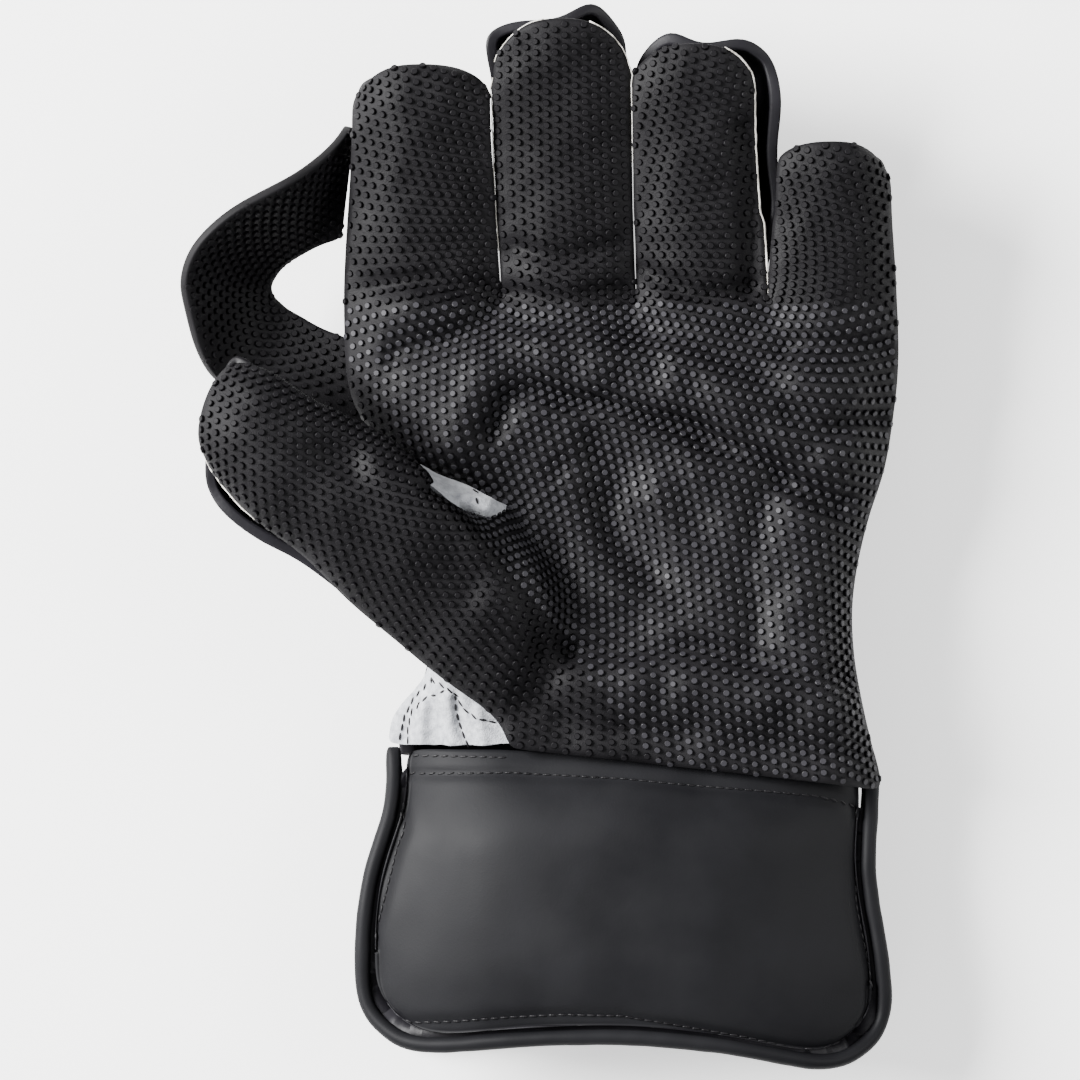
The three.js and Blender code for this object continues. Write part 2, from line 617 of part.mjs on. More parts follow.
// Suede gusset on the thumb's side of the wrist, from the hand back's rim up to the facing's edge.
function wristGusset() {
  const heel = palmPoint(0.5, 0.01);
  const seam = new THREE.CatmullRomCurve3([
    heel.setZ(heel.z + 1),
    ...wristSeam.map((along) => thumbPoint(along, 0.97)),
  ]);
  const rows = steps(9).map((t) => {
    const top = seam.getPoint(t);
    top.z -= facingAllowance + wristTuck;
    const foot = handRimPoint(lerp(...wristFoot, t));
    foot.z += 2 * seamGap + suedeThickness;
    return steps(7).map((s) => {
      const place = foot.clone().lerp(top, s);
      place.z = lerp(foot.z, top.z, Math.sin((Math.PI / 2) * s) ** 0.8);
      return place;
    });
  });
  return new Surface().grid(rows).solid(suedeThickness);
}

// Suede gusset in the fork of the thumb, from under the palm facing's cut edge to under the
// thumb facing's, and on to the hand back's rim.
function forkGusset() {
  const lowered = (place, more) => place.setZ(place.z - facingAllowance - more);
  const palmSide = forkPalmSide.map((at) => lowered(palmPoint(0.5, at), forkTuck));
  const thumbSidePoints = forkThumbSide.map((along) =>
    thumbPoint(along, 0.14).setZ(lerp(...forkFloor, along / forkThumbSide.at(-1)) * palmHeight),
  );
  const from = new THREE.CatmullRomCurve3(palmSide);
  const to = new THREE.CatmullRomCurve3([
    lowered(palmPoint(0.5, 0.48), forkEndTuck),
    ...thumbSidePoints,
    handRimPoint(0.72).add(point(2.5, 0, 3.5)),
  ]);
  const rows = steps(9).map((t) => {
    const [a, b] = [from.getPoint(t), to.getPoint(t)];
    return steps(5).map((s) => a.clone().lerp(b, s).setZ(lerp(a.z, b.z, s ** 2.5)));
  });
  return new Surface().grid(rows, true).solid(suedeThickness);
}

// Cuff. u goes across it from the thumb's side, v from the wrist seam to the hem, and inset
// moves the outline inwards.
const cuffCentre = 3.6; // the cuff's middle, to the right of the palm's axis
const cuffTop = (u) => palmLength * (0.05 - 0.042 * u * u);
const cuffBackTop = handRimPoint(0).y - seamGap;

function cuffPlace(u, v, inset, top) {
  const left = cuffCentre - cuffTopWidth / 2 - read(cuffSides, "left", v) * cuffFlare + inset;
  const right = cuffCentre + cuffTopWidth / 2 + read(cuffSides, "right", v) * cuffFlare - inset;
  const corner = cuffCorner * Math.abs(2 * u - 1) ** 12;
  const hem = -cuffLength + read(cuffHem, "sweep", u) * cuffWave + corner + inset;
  return point(lerp(left, right, u), lerp(top, hem, v), 0);
}

// Upper face of the front panel and lower face of the back panel.
function cuffFrontHeight(u, v) {
  const out = Math.abs(2 * u - 1);
  const wrist = palmPoint(0, 0).z - facingAllowance - 2 * seamGap - (sideDrop + 0.5) * out ** 5;
  const crown = cuffHeight - cuffArch * out ** 2.3 - cuffHemDip * ease((v - 0.75) * 4);
  return lerp(wrist, crown, ease(v * 3.2));
}
const cuffBackHeight = (u) => Math.max(0, cuffBackRise * (Math.abs(2 * u - 1) ** 6 - 0.04));

const pipingInset = pipingDiameter + 1.5 * seamGap;
const padded = (t) => ease(Math.min(t, 1 - t) / 0.22);

function cuffPanel(front) {
  const rows = steps(10).map((v) =>
    steps(18).map((u) => {
      const place = cuffPlace(u, v, pipingInset, front ? cuffTop(u) : cuffBackTop);
      const swell = cuffPadding * padded(u) * padded(v);
      place.z = front ? cuffFrontHeight(u, v) + swell : cuffBackHeight(u);
      return place;
    }),
  );
  return new Surface().grid(rows, front).solid(cuffThickness);
}

function cuffPiping(front) {
  const side = (u, vs) => vs.map((v) => [u, v]);
  const down = steps(9);
  const across = steps(16).slice(1, -1);
  const route = [...side(0, down), ...across.map((u) => [u, 1]), ...side(1, down.slice().reverse())];
  const points = route.map(([u, v]) => {
    const place = cuffPlace(u, v, pipingDiameter / 2, front ? cuffTop(u) : cuffBackTop);
    const z = front ? cuffFrontHeight(u, v) - cuffThickness / 2 : cuffBackHeight(u) + cuffThickness / 2;
    return place.setZ(z);
  });
  const section = new THREE.Shape();
  section.absarc(0, 0, pipingDiameter / 2, 0, 2 * Math.PI, false);
  return new THREE.ExtrudeGeometry(section, {
    steps: 44,
    curveSegments: 4,
    extrudePath: new THREE.CatmullRomCurve3(points),
  });
}

// Side gussets join the cuff's front and back panels.
function cuffGusset(u) {
  const inset = pipingInset + gussetThickness * 1.3;
  const share = (inset - pipingInset) / (cuffTopWidth - 2 * pipingInset);
  const near = u > 0.5 ? 1 - share : share;
  const under = cuffThickness * 1.25 + seamGap;
  const over = cuffThickness * 1.1 + seamGap;
  const rows = steps(8).map((t) => {
    const v = lerp(0.12, 1, t);
    const upper = cuffPlace(u, v, inset, cuffTop(u)).setZ(cuffFrontHeight(near, v) - under);
    const lower = cuffPlace(u, v, inset, cuffBackTop).setZ(cuffBackHeight(near) + over);
    return steps(4).map((s) => {
      const place = lower.clone().lerp(upper, s);
      place.x += (u > 0.5 ? 1 : -1) * cuffBulge * Math.sin(Math.PI * s);
      return place;
    });
  });
  return new Surface().grid(rows, u < 0.5).solid(gussetThickness);
}

const group = new THREE.Group();
const finishes = {
  rubber: { color: 0x1b1a1d, roughness: 0.55, metalness: 0 },
  leather: { color: 0x26252a, roughness: 0.5, metalness: 0 },
  suede: { color: 0xced0d4, roughness: 0.95, metalness: 0 },
};
const add = (name, finish, geometry) => {
  const mesh = new THREE.Mesh(geometry, new THREE.MeshStandardMaterial(finishes[finish]));
  mesh.name = name;
  group.add(mesh);
};

add("palm_facing", "rubber", palmFacing());
fingers.forEach((finger, i) => add(`${finger.name}_stall`, "leather", fingerStall(i)));
add("thumb_stall", "leather", thumbStall());
add("thumb_root", "leather", thumbRootSheet());
add("hand_back", "leather", handBack());
add("web", "rubber", web());
add("wrist_gusset", "suede", wristGusset());
add("fork_gusset", "suede", forkGusset());
add("cuff_front", "leather", cuffPanel(true));
add("cuff_back", "leather", cuffPanel(false));
add("cuff_front_piping", "leather", cuffPiping(true));
add("cuff_back_piping", "leather", cuffPiping(false));
add("cuff_thumb_gusset", "leather", cuffGusset(0));
add("cuff_little_gusset", "leather", cuffGusset(1));

const bounds = new THREE.Box3().setFromObject(group);
const centre = bounds.getCenter(point(0, 0, 0));
group.position.set(-centre.x, -centre.y, -bounds.min.z);

export default group;
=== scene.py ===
# %% [markdown]
# # A wicketkeeping glove
# The glove lies on its back with the palm up. One sheet of pimpled rubber faces the palm, the
# fingers and the thumb, leather stalls stand behind them, and a padded cuff covers the wrist.
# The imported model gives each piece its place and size, and this script gives it its surface. Each
# piece could be drawn anew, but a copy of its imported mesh, made finer, stays where its solid is.

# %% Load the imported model
import math
import random

import bmesh
import bpy
from mathutils import Matrix, Vector, noise
from mathutils.bvhtree import BVHTree
from mathutils.geometry import barycentric_transform


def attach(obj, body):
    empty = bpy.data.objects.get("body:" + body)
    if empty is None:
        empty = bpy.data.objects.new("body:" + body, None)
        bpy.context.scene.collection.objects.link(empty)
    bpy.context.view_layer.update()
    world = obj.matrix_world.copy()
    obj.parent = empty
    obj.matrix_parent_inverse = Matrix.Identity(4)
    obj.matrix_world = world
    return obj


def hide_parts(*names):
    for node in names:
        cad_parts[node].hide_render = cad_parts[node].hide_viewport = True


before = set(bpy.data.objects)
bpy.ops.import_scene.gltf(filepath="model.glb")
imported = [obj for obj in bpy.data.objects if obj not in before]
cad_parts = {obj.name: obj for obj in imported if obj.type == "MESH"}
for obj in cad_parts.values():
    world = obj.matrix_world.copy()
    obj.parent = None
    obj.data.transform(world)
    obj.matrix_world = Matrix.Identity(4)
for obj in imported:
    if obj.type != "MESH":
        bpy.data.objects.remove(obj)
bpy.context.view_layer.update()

# %% [markdown]
# Blender counts in metres and a glove maker in millimetres, so one name holds the step between
# them. The photograph looks straight down, and one of its pixels covers 0.28 mm of the glove.
# A place that was read from it, such as the end of a fold, stays a pixel and is turned here.

# %% Units and places in the photograph
MM = 0.001
PIXEL = 0.28 * MM
PHOTO_MIDDLE = 540


def plan(px, py):
    """The place on the glove's plan that a pixel of the photograph shows."""
    return Vector(((px - PHOTO_MIDDLE) * PIXEL, (PHOTO_MIDDLE - py) * PIXEL, 0))


# %% [markdown]
# The camera hangs straight above the glove, as the photographer's did. A short lens would lean the
# high thumb outwards, so the lens is long and the camera stands far off.

# %% Camera
LENS = 300
SENSOR = 36
VIEW_WIDTH = 1080 * PIXEL
SHARP_HEIGHT = 0.042

camera_data = bpy.data.cameras.new("camera")
camera_data.lens = LENS
camera_data.sensor_width = SENSOR
camera = bpy.data.objects.new("camera", camera_data)
camera.location = (0, 0, SHARP_HEIGHT + VIEW_WIDTH * LENS / SENSOR)
bpy.context.scene.collection.objects.link(camera)
bpy.context.scene.camera = camera
print("camera height in m:", round(camera.location.z, 3))

# %% [markdown]
# A colour picked on a screen is an sRGB value, and Blender's shaders want light itself, so one
# function turns the first into the second. Another adds a shader node with its settings and
# links. A Mix node keeps a socket for each kind of value, so its colours are reached by number.
# Blender's noise stays mostly between 0.3 and 0.7, and Map Range spreads that to the span wanted.

# %% Colour and node helpers
FACTOR, FIRST, SECOND, MIXED = 0, 6, 7, 2
NOISE_SPAN = {"From Min": 0.3, "From Max": 0.7}


def linear(colour):
    """An sRGB hex colour as linear red, green, blue and alpha."""
    parts = [int(colour[i : i + 2], 16) / 255 for i in (1, 3, 5)]
    return [p / 12.92 if p <= 0.04045 else ((p + 0.055) / 1.055) ** 2.4 for p in parts] + [1.0]


def add(tree, kind, inputs=None, **settings):
    """Adds a node, applies its settings, and sets or links each input, by name or number."""
    made = tree.nodes.new(kind)
    for name, value in settings.items():
        setattr(made, name, value)
    for name, value in (inputs or {}).items():
        if isinstance(value, bpy.types.NodeSocket):
            tree.links.new(value, made.inputs[name])
        else:
            made.inputs[name].default_value = value
    return made


def finish_named(name, shader_inputs, surface):
    """A material whose colour, roughness and normal come from surface(tree, place)."""
    made = bpy.data.materials.new(name)
    made.use_nodes = True
    tree = made.node_tree
    tree.nodes.clear()
    place = add(tree, "ShaderNodeTexCoord").outputs["Object"]
    shader = add(tree, "ShaderNodeBsdfPrincipled", {**shader_inputs, **surface(tree, place)})
    add(tree, "ShaderNodeOutputMaterial", {"Surface": shader.outputs["BSDF"]})
    print("made", name, "with", len(tree.nodes), "nodes")
    return made


# %% [markdown]
# The facing is moulded natural rubber, black with a little brown in it, and almost matt: light
# shows on it only as a broad soft sheen. Flow lines of the mould and chalky wear vary it over
# 15 mm or so, and a fine grain of 0.5 mm keeps the sheen from looking like plastic.

# %% Rubber


def rubber_surface(tree, place):
    wear = add(tree, "ShaderNodeTexNoise", {"Vector": place, "Scale": 1 / (15 * MM), "Detail": 4.0}).outputs["Fac"]
    fine = add(tree, "ShaderNodeTexNoise", {"Vector": place, "Scale": 1 / (0.5 * MM), "Detail": 2.0}).outputs["Fac"]
    tone = add(tree, "ShaderNodeMapRange", {**NOISE_SPAN, "Value": wear}).outputs["Result"]
    shine = {**NOISE_SPAN, "Value": wear, "To Min": 0.56, "To Max": 0.7}
    shades = {FACTOR: tone, FIRST: linear("#080709"), SECOND: linear("#131214")}
    bump = add(tree, "ShaderNodeBump", {"Height": fine, "Strength": 0.6, "Distance": 0.15 * MM})
    return {
        "Base Color": add(tree, "ShaderNodeMix", shades, data_type="RGBA").outputs[MIXED],
        "Roughness": add(tree, "ShaderNodeMapRange", shine).outputs["Result"],
        "Normal": bump.outputs["Normal"],
    }


rubber = finish_named("moulded_black_rubber", {"IOR": 1.5, "Specular IOR Level": 0.14}, rubber_surface)

# %% [markdown]
# Every pimple's top is painted lighter than its sides and its foot: a painted highlight where the top faces the
# light, and painted shade on the sides. The palm's tops get a lighter painted highlight, and the tops on the
# fingers, the thumb and the web a darker one, as painted shade where they face away from the lamp. Each pimple's
# mesh carries a UV height, 0 at the foot and 1 at the top, and the material reads that. Painting each one by hand
# would never end.

# %% Pimple tops


def pimple_surface(painted_top_highlight):
    """The surface of pimples whose tops are painted lighter as a highlight, as a function of the tree and the place.
    """

    def surface(tree, place):
        height_map = add(tree, "ShaderNodeUVMap", uv_map="height").outputs["UV"]
        height = add(tree, "ShaderNodeSeparateXYZ", {"Vector": height_map}).outputs["X"]
        patches = {"Vector": place, "Scale": 1 / (9 * MM), "Detail": 3.0}
        wear = add(tree, "ShaderNodeTexNoise", patches).outputs["Fac"]
        pores = {"Vector": place, "Scale": 1 / (0.4 * MM), "Detail": 2.0}
        fine = add(tree, "ShaderNodeTexNoise", pores).outputs["Fac"]
        # Above 0.7 of the height the top takes the painted highlight, and the sides and foot below it take the
        # near-black painted shade.
        top = add(tree, "ShaderNodeMapRange", {"Value": height, "From Min": 0.7}).outputs["Result"]
        shine = {**NOISE_SPAN, "Value": wear, "To Min": 0.5, "To Max": 0.64}
        shades = {FACTOR: top, FIRST: linear("#060507"), SECOND: linear(painted_top_highlight)}
        bump = add(tree, "ShaderNodeBump", {"Height": fine, "Strength": 0.35, "Distance": 0.1 * MM})
        return {
            "Base Color": add(tree, "ShaderNodeMix", shades, data_type="RGBA").outputs[MIXED],
            "Roughness": add(tree, "ShaderNodeMapRange", shine).outputs["Result"],
            "Normal": bump.outputs["Normal"],
        }

    return surface


# The palm's pimples get the lighter painted highlight on their tops. The fingers', the thumb's and the web's get a
# darker one, painted shade where they face away from the lamp.
rubbed = {"IOR": 1.5, "Specular IOR Level": 0.24}
fresh = {"IOR": 1.5, "Specular IOR Level": 0.1}
painted_lit_pimples = finish_named("rubber_pimples_painted_lit", rubbed, pimple_surface("#242327"))
painted_shaded_pimples = finish_named("rubber_pimples_painted_shaded", fresh, pimple_surface("#100f11"))

# %% [markdown]
# The rubber is moulded on to a cotton drill, which shows as a thin pale line wherever the sheet
# was cut. The threads of drill are about 0.5 mm apart, and a wave texture across the weave is
# enough at that size. A wave texture has a full turn every 2 pi units, hence that number.

# %% Cotton backing
WAVE_TURN = math.tau


def cotton_surface(tree, place):
    across = {"Vector": place, "Scale": 1 / (0.5 * MM) / WAVE_TURN, "Distortion": 2.0}
    threads = add(tree, "ShaderNodeTexWave", across).outputs["Fac"]
    soil = add(tree, "ShaderNodeTexNoise", {"Vector": place, "Scale": 1 / (4 * MM), "Detail": 3.0}).outputs["Fac"]
    tone = add(tree, "ShaderNodeMapRange", {**NOISE_SPAN, "Value": soil}).outputs["Result"]
    shine = {**NOISE_SPAN, "Value": soil, "To Min": 0.85, "To Max": 0.95}
    shades = {FACTOR: tone, FIRST: linear("#a9a49a"), SECOND: linear("#e6e3dc")}
    bump = add(tree, "ShaderNodeBump", {"Height": threads, "Strength": 0.5, "Distance": 0.15 * MM})
    return {
        "Base Color": add(tree, "ShaderNodeMix", shades, data_type="RGBA").outputs[MIXED],
        "Roughness": add(tree, "ShaderNodeMapRange", shine).outputs["Result"],
        "Normal": bump.outputs["Normal"],
    }


cotton = finish_named("woven_cotton_drill", {"Sheen Weight": 0.2}, cotton_surface)

# %% [markdown]
# The stalls and the back are cowhide, dyed and finished black, with a pebble grain of about
# 0.9 mm that the eye reads as small soft glints. Voronoi cells have the shape of those pebbles.

# %% Black cowhide


def cowhide_surface(tree, place):
    cells = {"Vector": place, "Scale": 1 / (0.9 * MM)}
    pebbles = add(tree, "ShaderNodeTexVoronoi", cells, feature="SMOOTH_F1").outputs["Distance"]
    hide = add(tree, "ShaderNodeTexNoise", {"Vector": place, "Scale": 1 / (20 * MM), "Detail": 3.0}).outputs["Fac"]
    tone = add(tree, "ShaderNodeMapRange", {**NOISE_SPAN, "Value": hide}).outputs["Result"]
    shine = {**NOISE_SPAN, "Value": hide, "To Min": 0.42, "To Max": 0.54}
    shades = {FACTOR: tone, FIRST: linear("#0e0d0f"), SECOND: linear("#17161a")}
    bump = add(tree, "ShaderNodeBump", {"Height": pebbles, "Strength": 0.25, "Distance": 0.15 * MM})
    return {
        "Base Color": add(tree, "ShaderNodeMix", shades, data_type="RGBA").outputs[MIXED],
        "Roughness": add(tree, "ShaderNodeMapRange", shine).outputs["Result"],
        "Normal": bump.outputs["Normal"],
    }


cowhide = finish_named("pebbled_black_cowhide", {"IOR": 1.5, "Specular IOR Level": 0.16}, cowhide_surface)

# %% [markdown]
# The cuff is a smoother leather, coated in charcoal. Its grain is a fine net of 0.45 mm, printed
# by a plate, and the coating dulls in clouds of 25 mm, so the wide sheen never runs evenly. Noise
# alone looks like plaster here, so the net comes from Voronoi cells and the noise only rubs it.

# %% Coated leather


def coated_surface(tree, place):
    cells = {"Vector": place, "Scale": 1 / (0.45 * MM)}
    net = add(tree, "ShaderNodeTexVoronoi", cells, feature="SMOOTH_F1").outputs["Distance"]
    rub = add(tree, "ShaderNodeTexNoise", {"Vector": place, "Scale": 1 / (1.2 * MM), "Detail": 4.0}).outputs["Fac"]
    cloud = add(tree, "ShaderNodeTexNoise", {"Vector": place, "Scale": 1 / (25 * MM), "Detail": 4.0}).outputs["Fac"]
    tone = add(tree, "ShaderNodeMapRange", {**NOISE_SPAN, "Value": cloud}).outputs["Result"]
    shine = {**NOISE_SPAN, "Value": cloud, "To Min": 0.5, "To Max": 0.62}
    shades = {FACTOR: tone, FIRST: linear("#0f0f11"), SECOND: linear("#161618")}
    worn = add(tree, "ShaderNodeMath", {0: net, 1: rub}, operation="MULTIPLY").outputs["Value"]
    bump = add(tree, "ShaderNodeBump", {"Height": worn, "Strength": 0.3, "Distance": 0.12 * MM})
    return {
        "Base Color": add(tree, "ShaderNodeMix", shades, data_type="RGBA").outputs[MIXED],
        "Roughness": add(tree, "ShaderNodeMapRange", shine).outputs["Result"],
        "Normal": bump.outputs["Normal"],
    }


coated = finish_named("coated_charcoal_leather", {"IOR": 1.5, "Specular IOR Level": 0.09}, coated_surface)

# %% [markdown]
# The gussets are split suede, pale grey with a nap that has no shine at all. Sheen gives the nap
# its light edge, and cloudy noise over 2 mm shows where the nap was brushed the other way.

# %% Suede


def suede_surface(tree, place):
    nap = add(tree, "ShaderNodeTexNoise", {"Vector": place, "Scale": 1 / (0.5 * MM), "Detail": 5.0}).outputs["Fac"]
    brushed = add(tree, "ShaderNodeTexNoise", {"Vector": place, "Scale": 1 / (2 * MM), "Detail": 5.0}).outputs["Fac"]
    tone = add(tree, "ShaderNodeMapRange", {**NOISE_SPAN, "Value": brushed}).outputs["Result"]
    shine = {**NOISE_SPAN, "Value": nap, "To Min": 0.9, "To Max": 1.0}
    shades = {FACTOR: tone, FIRST: linear("#86888d"), SECOND: linear("#b4b6ba")}
    bump = add(tree, "ShaderNodeBump", {"Height": nap, "Strength": 0.9, "Distance": 0.4 * MM})
    return {
        "Base Color": add(tree, "ShaderNodeMix", shades, data_type="RGBA").outputs[MIXED],
        "Roughness": add(tree, "ShaderNodeMapRange", shine).outputs["Result"],
        "Normal": bump.outputs["Normal"],
    }


suede_finish = {"Sheen Weight": 0.3, "Sheen Roughness": 0.5, "Specular IOR Level": 0.2}
suede = finish_named("pale_grey_split_suede", suede_finish, suede_surface)

# %% [markdown]
# The thread is bonded polyester, black, with a faint waxy shine. Its twist of about 0.35 mm is a
# little coarser than the real one so that it shows at all.

# %% Thread


def thread_surface(tree, place):
    across = {"Vector": place, "Scale": 1 / (0.35 * MM) / WAVE_TURN, "Distortion": 1.0}
    twist = add(tree, "ShaderNodeTexWave", across).outputs["Fac"]
    wax = add(tree, "ShaderNodeTexNoise", {"Vector": place, "Scale": 1 / (6 * MM), "Detail": 3.0}).outputs["Fac"]
    tone = add(tree, "ShaderNodeMapRange", {**NOISE_SPAN, "Value": wax}).outputs["Result"]
    shine = {**NOISE_SPAN, "Value": wax, "To Min": 0.4, "To Max": 0.55}
    shades = {FACTOR: tone, FIRST: linear("#0a090b"), SECOND: linear("#171618")}
    bump = add(tree, "ShaderNodeBump", {"Height": twist, "Strength": 0.5, "Distance": 0.05 * MM})
    return {
        "Base Color": add(tree, "ShaderNodeMix", shades, data_type="RGBA").outputs[MIXED],
        "Roughness": add(tree, "ShaderNodeMapRange", shine).outputs["Result"],
        "Normal": bump.outputs["Normal"],
    }


thread = finish_named("bonded_black_thread", {"IOR": 1.5, "Specular IOR Level": 0.2}, thread_surface)

# %% [markdown]
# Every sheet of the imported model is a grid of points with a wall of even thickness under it, cut
# into triangles. To make it finer without dents, its triangles are first joined back to the
# grid's squares. An edge exactly as long as the wall is thick belongs to the rim, so the rim can
# be told from the two broad sides, and its corners are creased to stay firm under the smoothing.

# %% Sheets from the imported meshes
OUTER, RIM, INNER = 0, 1, 2
SAME_LENGTH = 0.003 * MM
RIM_CREASE = 0.75


def neighbours(faces):
    """The faces in groups that touch along an edge."""
    waiting = set(faces)
    groups = []
    while waiting:
        group = []
        front = [waiting.pop()]
        while front:
            face = front.pop()
            group.append(face)
            touching = {f for edge in face.edges for f in edge.link_faces} & waiting
            waiting -= touching
            front.extend(touching)
        groups.append(group)
    return groups


def sheet_from(node, thickness, outward):
    """A node's mesh as squares, whose material index says outer side, rim or inner side."""
    sheet = bmesh.new()
    sheet.from_mesh(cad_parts[node].data)
    bmesh.ops.remove_doubles(sheet, verts=sheet.verts, dist=0.002 * MM)
    walls = set()
    for edge in sheet.edges:
        if abs(edge.calc_length() - thickness) < SAME_LENGTH:
            walls.update(edge.link_faces)
    for face in sheet.faces:
        face.material_index = RIM
        face.smooth = True
    for group in neighbours([f for f in sheet.faces if f not in walls]):
        facing = sum(f.normal.dot(outward) * f.calc_area() for f in group)
        for face in group:
            face.material_index = OUTER if facing > 0 else INNER
    for side in (OUTER, RIM, INNER):
        faces = [f for f in sheet.faces if f.material_index == side]
        bmesh.ops.join_triangles(
            sheet, faces=faces, angle_face_threshold=math.pi, angle_shape_threshold=math.pi
        )
    crease = sheet.edges.layers.float.new("crease_edge")
    for edge in sheet.edges:
        if len({f.material_index for f in edge.link_faces}) > 1:
            edge[crease] = RIM_CREASE
    return sheet


def piece_from(sheet, name, finishes, levels=0):
    """An object from a bmesh, made finer by a number of levels of smoothing."""
    mesh = bpy.data.meshes.new(name)
    sheet.to_mesh(mesh)
    sheet.free()
    for finish in finishes:
        mesh.materials.append(finish)
    piece = bpy.data.objects.new(name, mesh)
    bpy.context.scene.collection.objects.link(piece)
    return smoothed(piece, levels) if levels else piece


def smoothed(piece, levels):
    """The piece with a subdivision surface worked into its mesh."""
    modifier = piece.modifiers.new("finer", "SUBSURF")
    modifier.levels = modifier.render_levels = levels
    graph = bpy.context.evaluated_depsgraph_get()
    coarse = piece.data
    piece.data = bpy.data.meshes.new_from_object(piece.evaluated_get(graph))
    piece.modifiers.clear()
    piece.data.name = piece.name
    bpy.data.meshes.remove(coarse)
    return piece


def settle(piece, slot, *nodes):
    """The piece rides on the glove, and the imported nodes it stands for are hidden; slot is not used."""
    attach(piece, "root")
    if nodes:
        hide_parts(*nodes)
    print(piece.name, "faces:", len(piece.data.polygons))
    return piece


# %% [markdown]
# The palm isn't a smooth bowl. Lines of sewing under the rubber leave a raised roll below the
# fingers, a second band above the heel and small dimples where stitches pull it in, and use has
# creased it where the fingers bend. Each is a path with a width and a height, and every point of
# the sheet is lifted by the sum of what is near. The paths wander a little by noise, because no
# fold of rubber is a drawn line. Sculpting by brush would give the same shape but not twice.

# %% Folds of the palm
FOLD_END, FOLD_STRENGTH = 2.5, 2.1
FOLDS = [
    # name, half width in mm, height in mm, pixels of its path
    ("knuckle roll", 6.5, 1.1, [(450, 440), (470, 385), (520, 355), (600, 355), (680, 372), (760, 412), (850, 470)]),
    ("groove under the knuckle roll", 3.4, -2.2, [(492, 425), (510, 398), (540, 392), (640, 410), (740, 450), (840, 505)]),
    ("groove over the knuckle roll", 3.2, -1.0, [(520, 325), (600, 325), (680, 338), (760, 370)]),
    ("side pad", 5.5, 1.0, [(795, 500), (805, 580), (800, 650)]),
    ("groove left of the side pad", 5.5, -1.0, [(766, 490), (752, 575), (758, 650)]),
    ("heel band", 6.0, 1.0, [(575, 680), (700, 690), (860, 720)]),
    ("groove over the heel band", 3.2, -1.5, [(572, 652), (700, 650), (840, 680)]),
    ("groove under the heel band", 3.4, -1.0, [(560, 722), (700, 735), (850, 755)]),
    ("pocket arc", 6.5, -1.5, [(606, 462), (610, 500), (622, 540), (650, 570)]),
    ("pocket bowl", 8.0, 1.2, [(655, 500), (680, 545)]),
    ("pocket ridge", 5.0, 0.8, [(575, 480), (590, 540), (625, 590)]),
    ("pocket crease", 4.5, -1.1, [(560, 560), (580, 610), (640, 632)]),
    ("middle of the palm", 6.0, 0.8, [(700, 470), (760, 560)]),
    ("index crease", 3.0, -1.3, [(375, 286), (430, 282), (485, 292)]),
    ("index root crease", 3.2, -1.6, [(395, 355), (440, 340), (492, 312)]),
    ("index bulge", 5.0, 0.9, [(390, 315), (460, 308)]),
    ("middle upper crease", 2.6, -0.9, [(512, 250), (570, 255), (622, 250)]),
    ("middle crease", 2.8, -1.4, [(508, 296), (565, 302), (625, 296)]),
    ("middle root crease", 2.4, -1.0, [(515, 318), (570, 322), (630, 316)]),
    ("ring crease", 2.8, -1.3, [(648, 272), (700, 292), (750, 286)]),
    ("ring root crease", 2.6, -1.2, [(650, 318), (700, 322), (745, 330)]),
    ("ring valley", 3.2, -1.2, [(742, 130), (747, 200), (748, 280)]),
    ("little crease", 2.8, -1.2, [(785, 352), (830, 345), (885, 350)]),
    ("little bulge", 5.5, 1.3, [(800, 385), (850, 392)]),
    ("little root crease", 3.0, -1.5, [(785, 415), (830, 428), (880, 420)]),
    ("thumb dent", 6.0, -1.4, [(330, 455), (352, 462)]),
    ("thumb lower dent", 7.0, -1.3, [(448, 560), (468, 578)]),
    ("thumb ridge", 6.0, 0.8, [(380, 470), (470, 540)]),
    ("thumb foot fold", 3.0, -1.0, [(505, 545), (530, 600), (535, 650)]),
]
DIMPLES = [(455, 388), (520, 368), (566, 362), (620, 372), (652, 372), (692, 390), (755, 418), (806, 450)]
DIMPLES += [(808, 550), (803, 625), (660, 692), (790, 715), (600, 440), (705, 440), (770, 480), (560, 470)]
DIMPLE_WIDTH, DIMPLE_DEPTH = 4.8, -0.9
WANDER_SIZE, WANDER = 17 * MM, 2.4 * MM
CRUMPLES = [
    # size and height of the crumples in mm
    (14, 0.45),
    (6, 0.2),
]

fold_paths = [(width * MM, height * MM, [plan(*pixel) for pixel in path]) for _, width, height, path in FOLDS]
fold_paths += [(DIMPLE_WIDTH * MM, DIMPLE_DEPTH * MM, [plan(*pixel)]) for pixel in DIMPLES]


def distance_to(place, path):
    """How far a place on the plan lies from a path."""
    nearest = (place - path[0]).length
    for start, end in zip(path, path[1:]):
        along = end - start
        share = max(0.0, min(1.0, (place - start).dot(along) / along.length_squared))
        nearest = min(nearest, (place - start - along * share).length)
    return nearest


def fold_height(point):
    """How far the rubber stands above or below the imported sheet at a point."""
    drift = noise.noise_vector(point / WANDER_SIZE) * WANDER
    place = Vector((point.x + drift.x, point.y + drift.y, 0))
    strength = 1 + 0.6 * noise.noise(point / WANDER_SIZE)
    height = sum(noise.noise(point / (size * MM)) * rise * MM for size, rise in CRUMPLES)
    for width, rise, path in fold_paths:
        away = distance_to(place, path) / width
        if away < FOLD_END:
            height += rise * strength * math.exp(-away * away)
    return height * FOLD_STRENGTH


print(len(FOLDS), "folds and", len(DIMPLES), "dimples")

# %% [markdown]
# A pimple pattern is moulded in a flat sheet, so it has to be laid out flat and carried to the
# curved glove, where it crowds and spreads as the real one does. Unwrapping the coarse sheet gives
# that flat pattern, and it stays true when the sheet is made finer.

# %% The rubber facing, flat pattern and folds
RUBBER_THICKNESS = 2.5 * MM
UP = Vector((0, 0, 1))


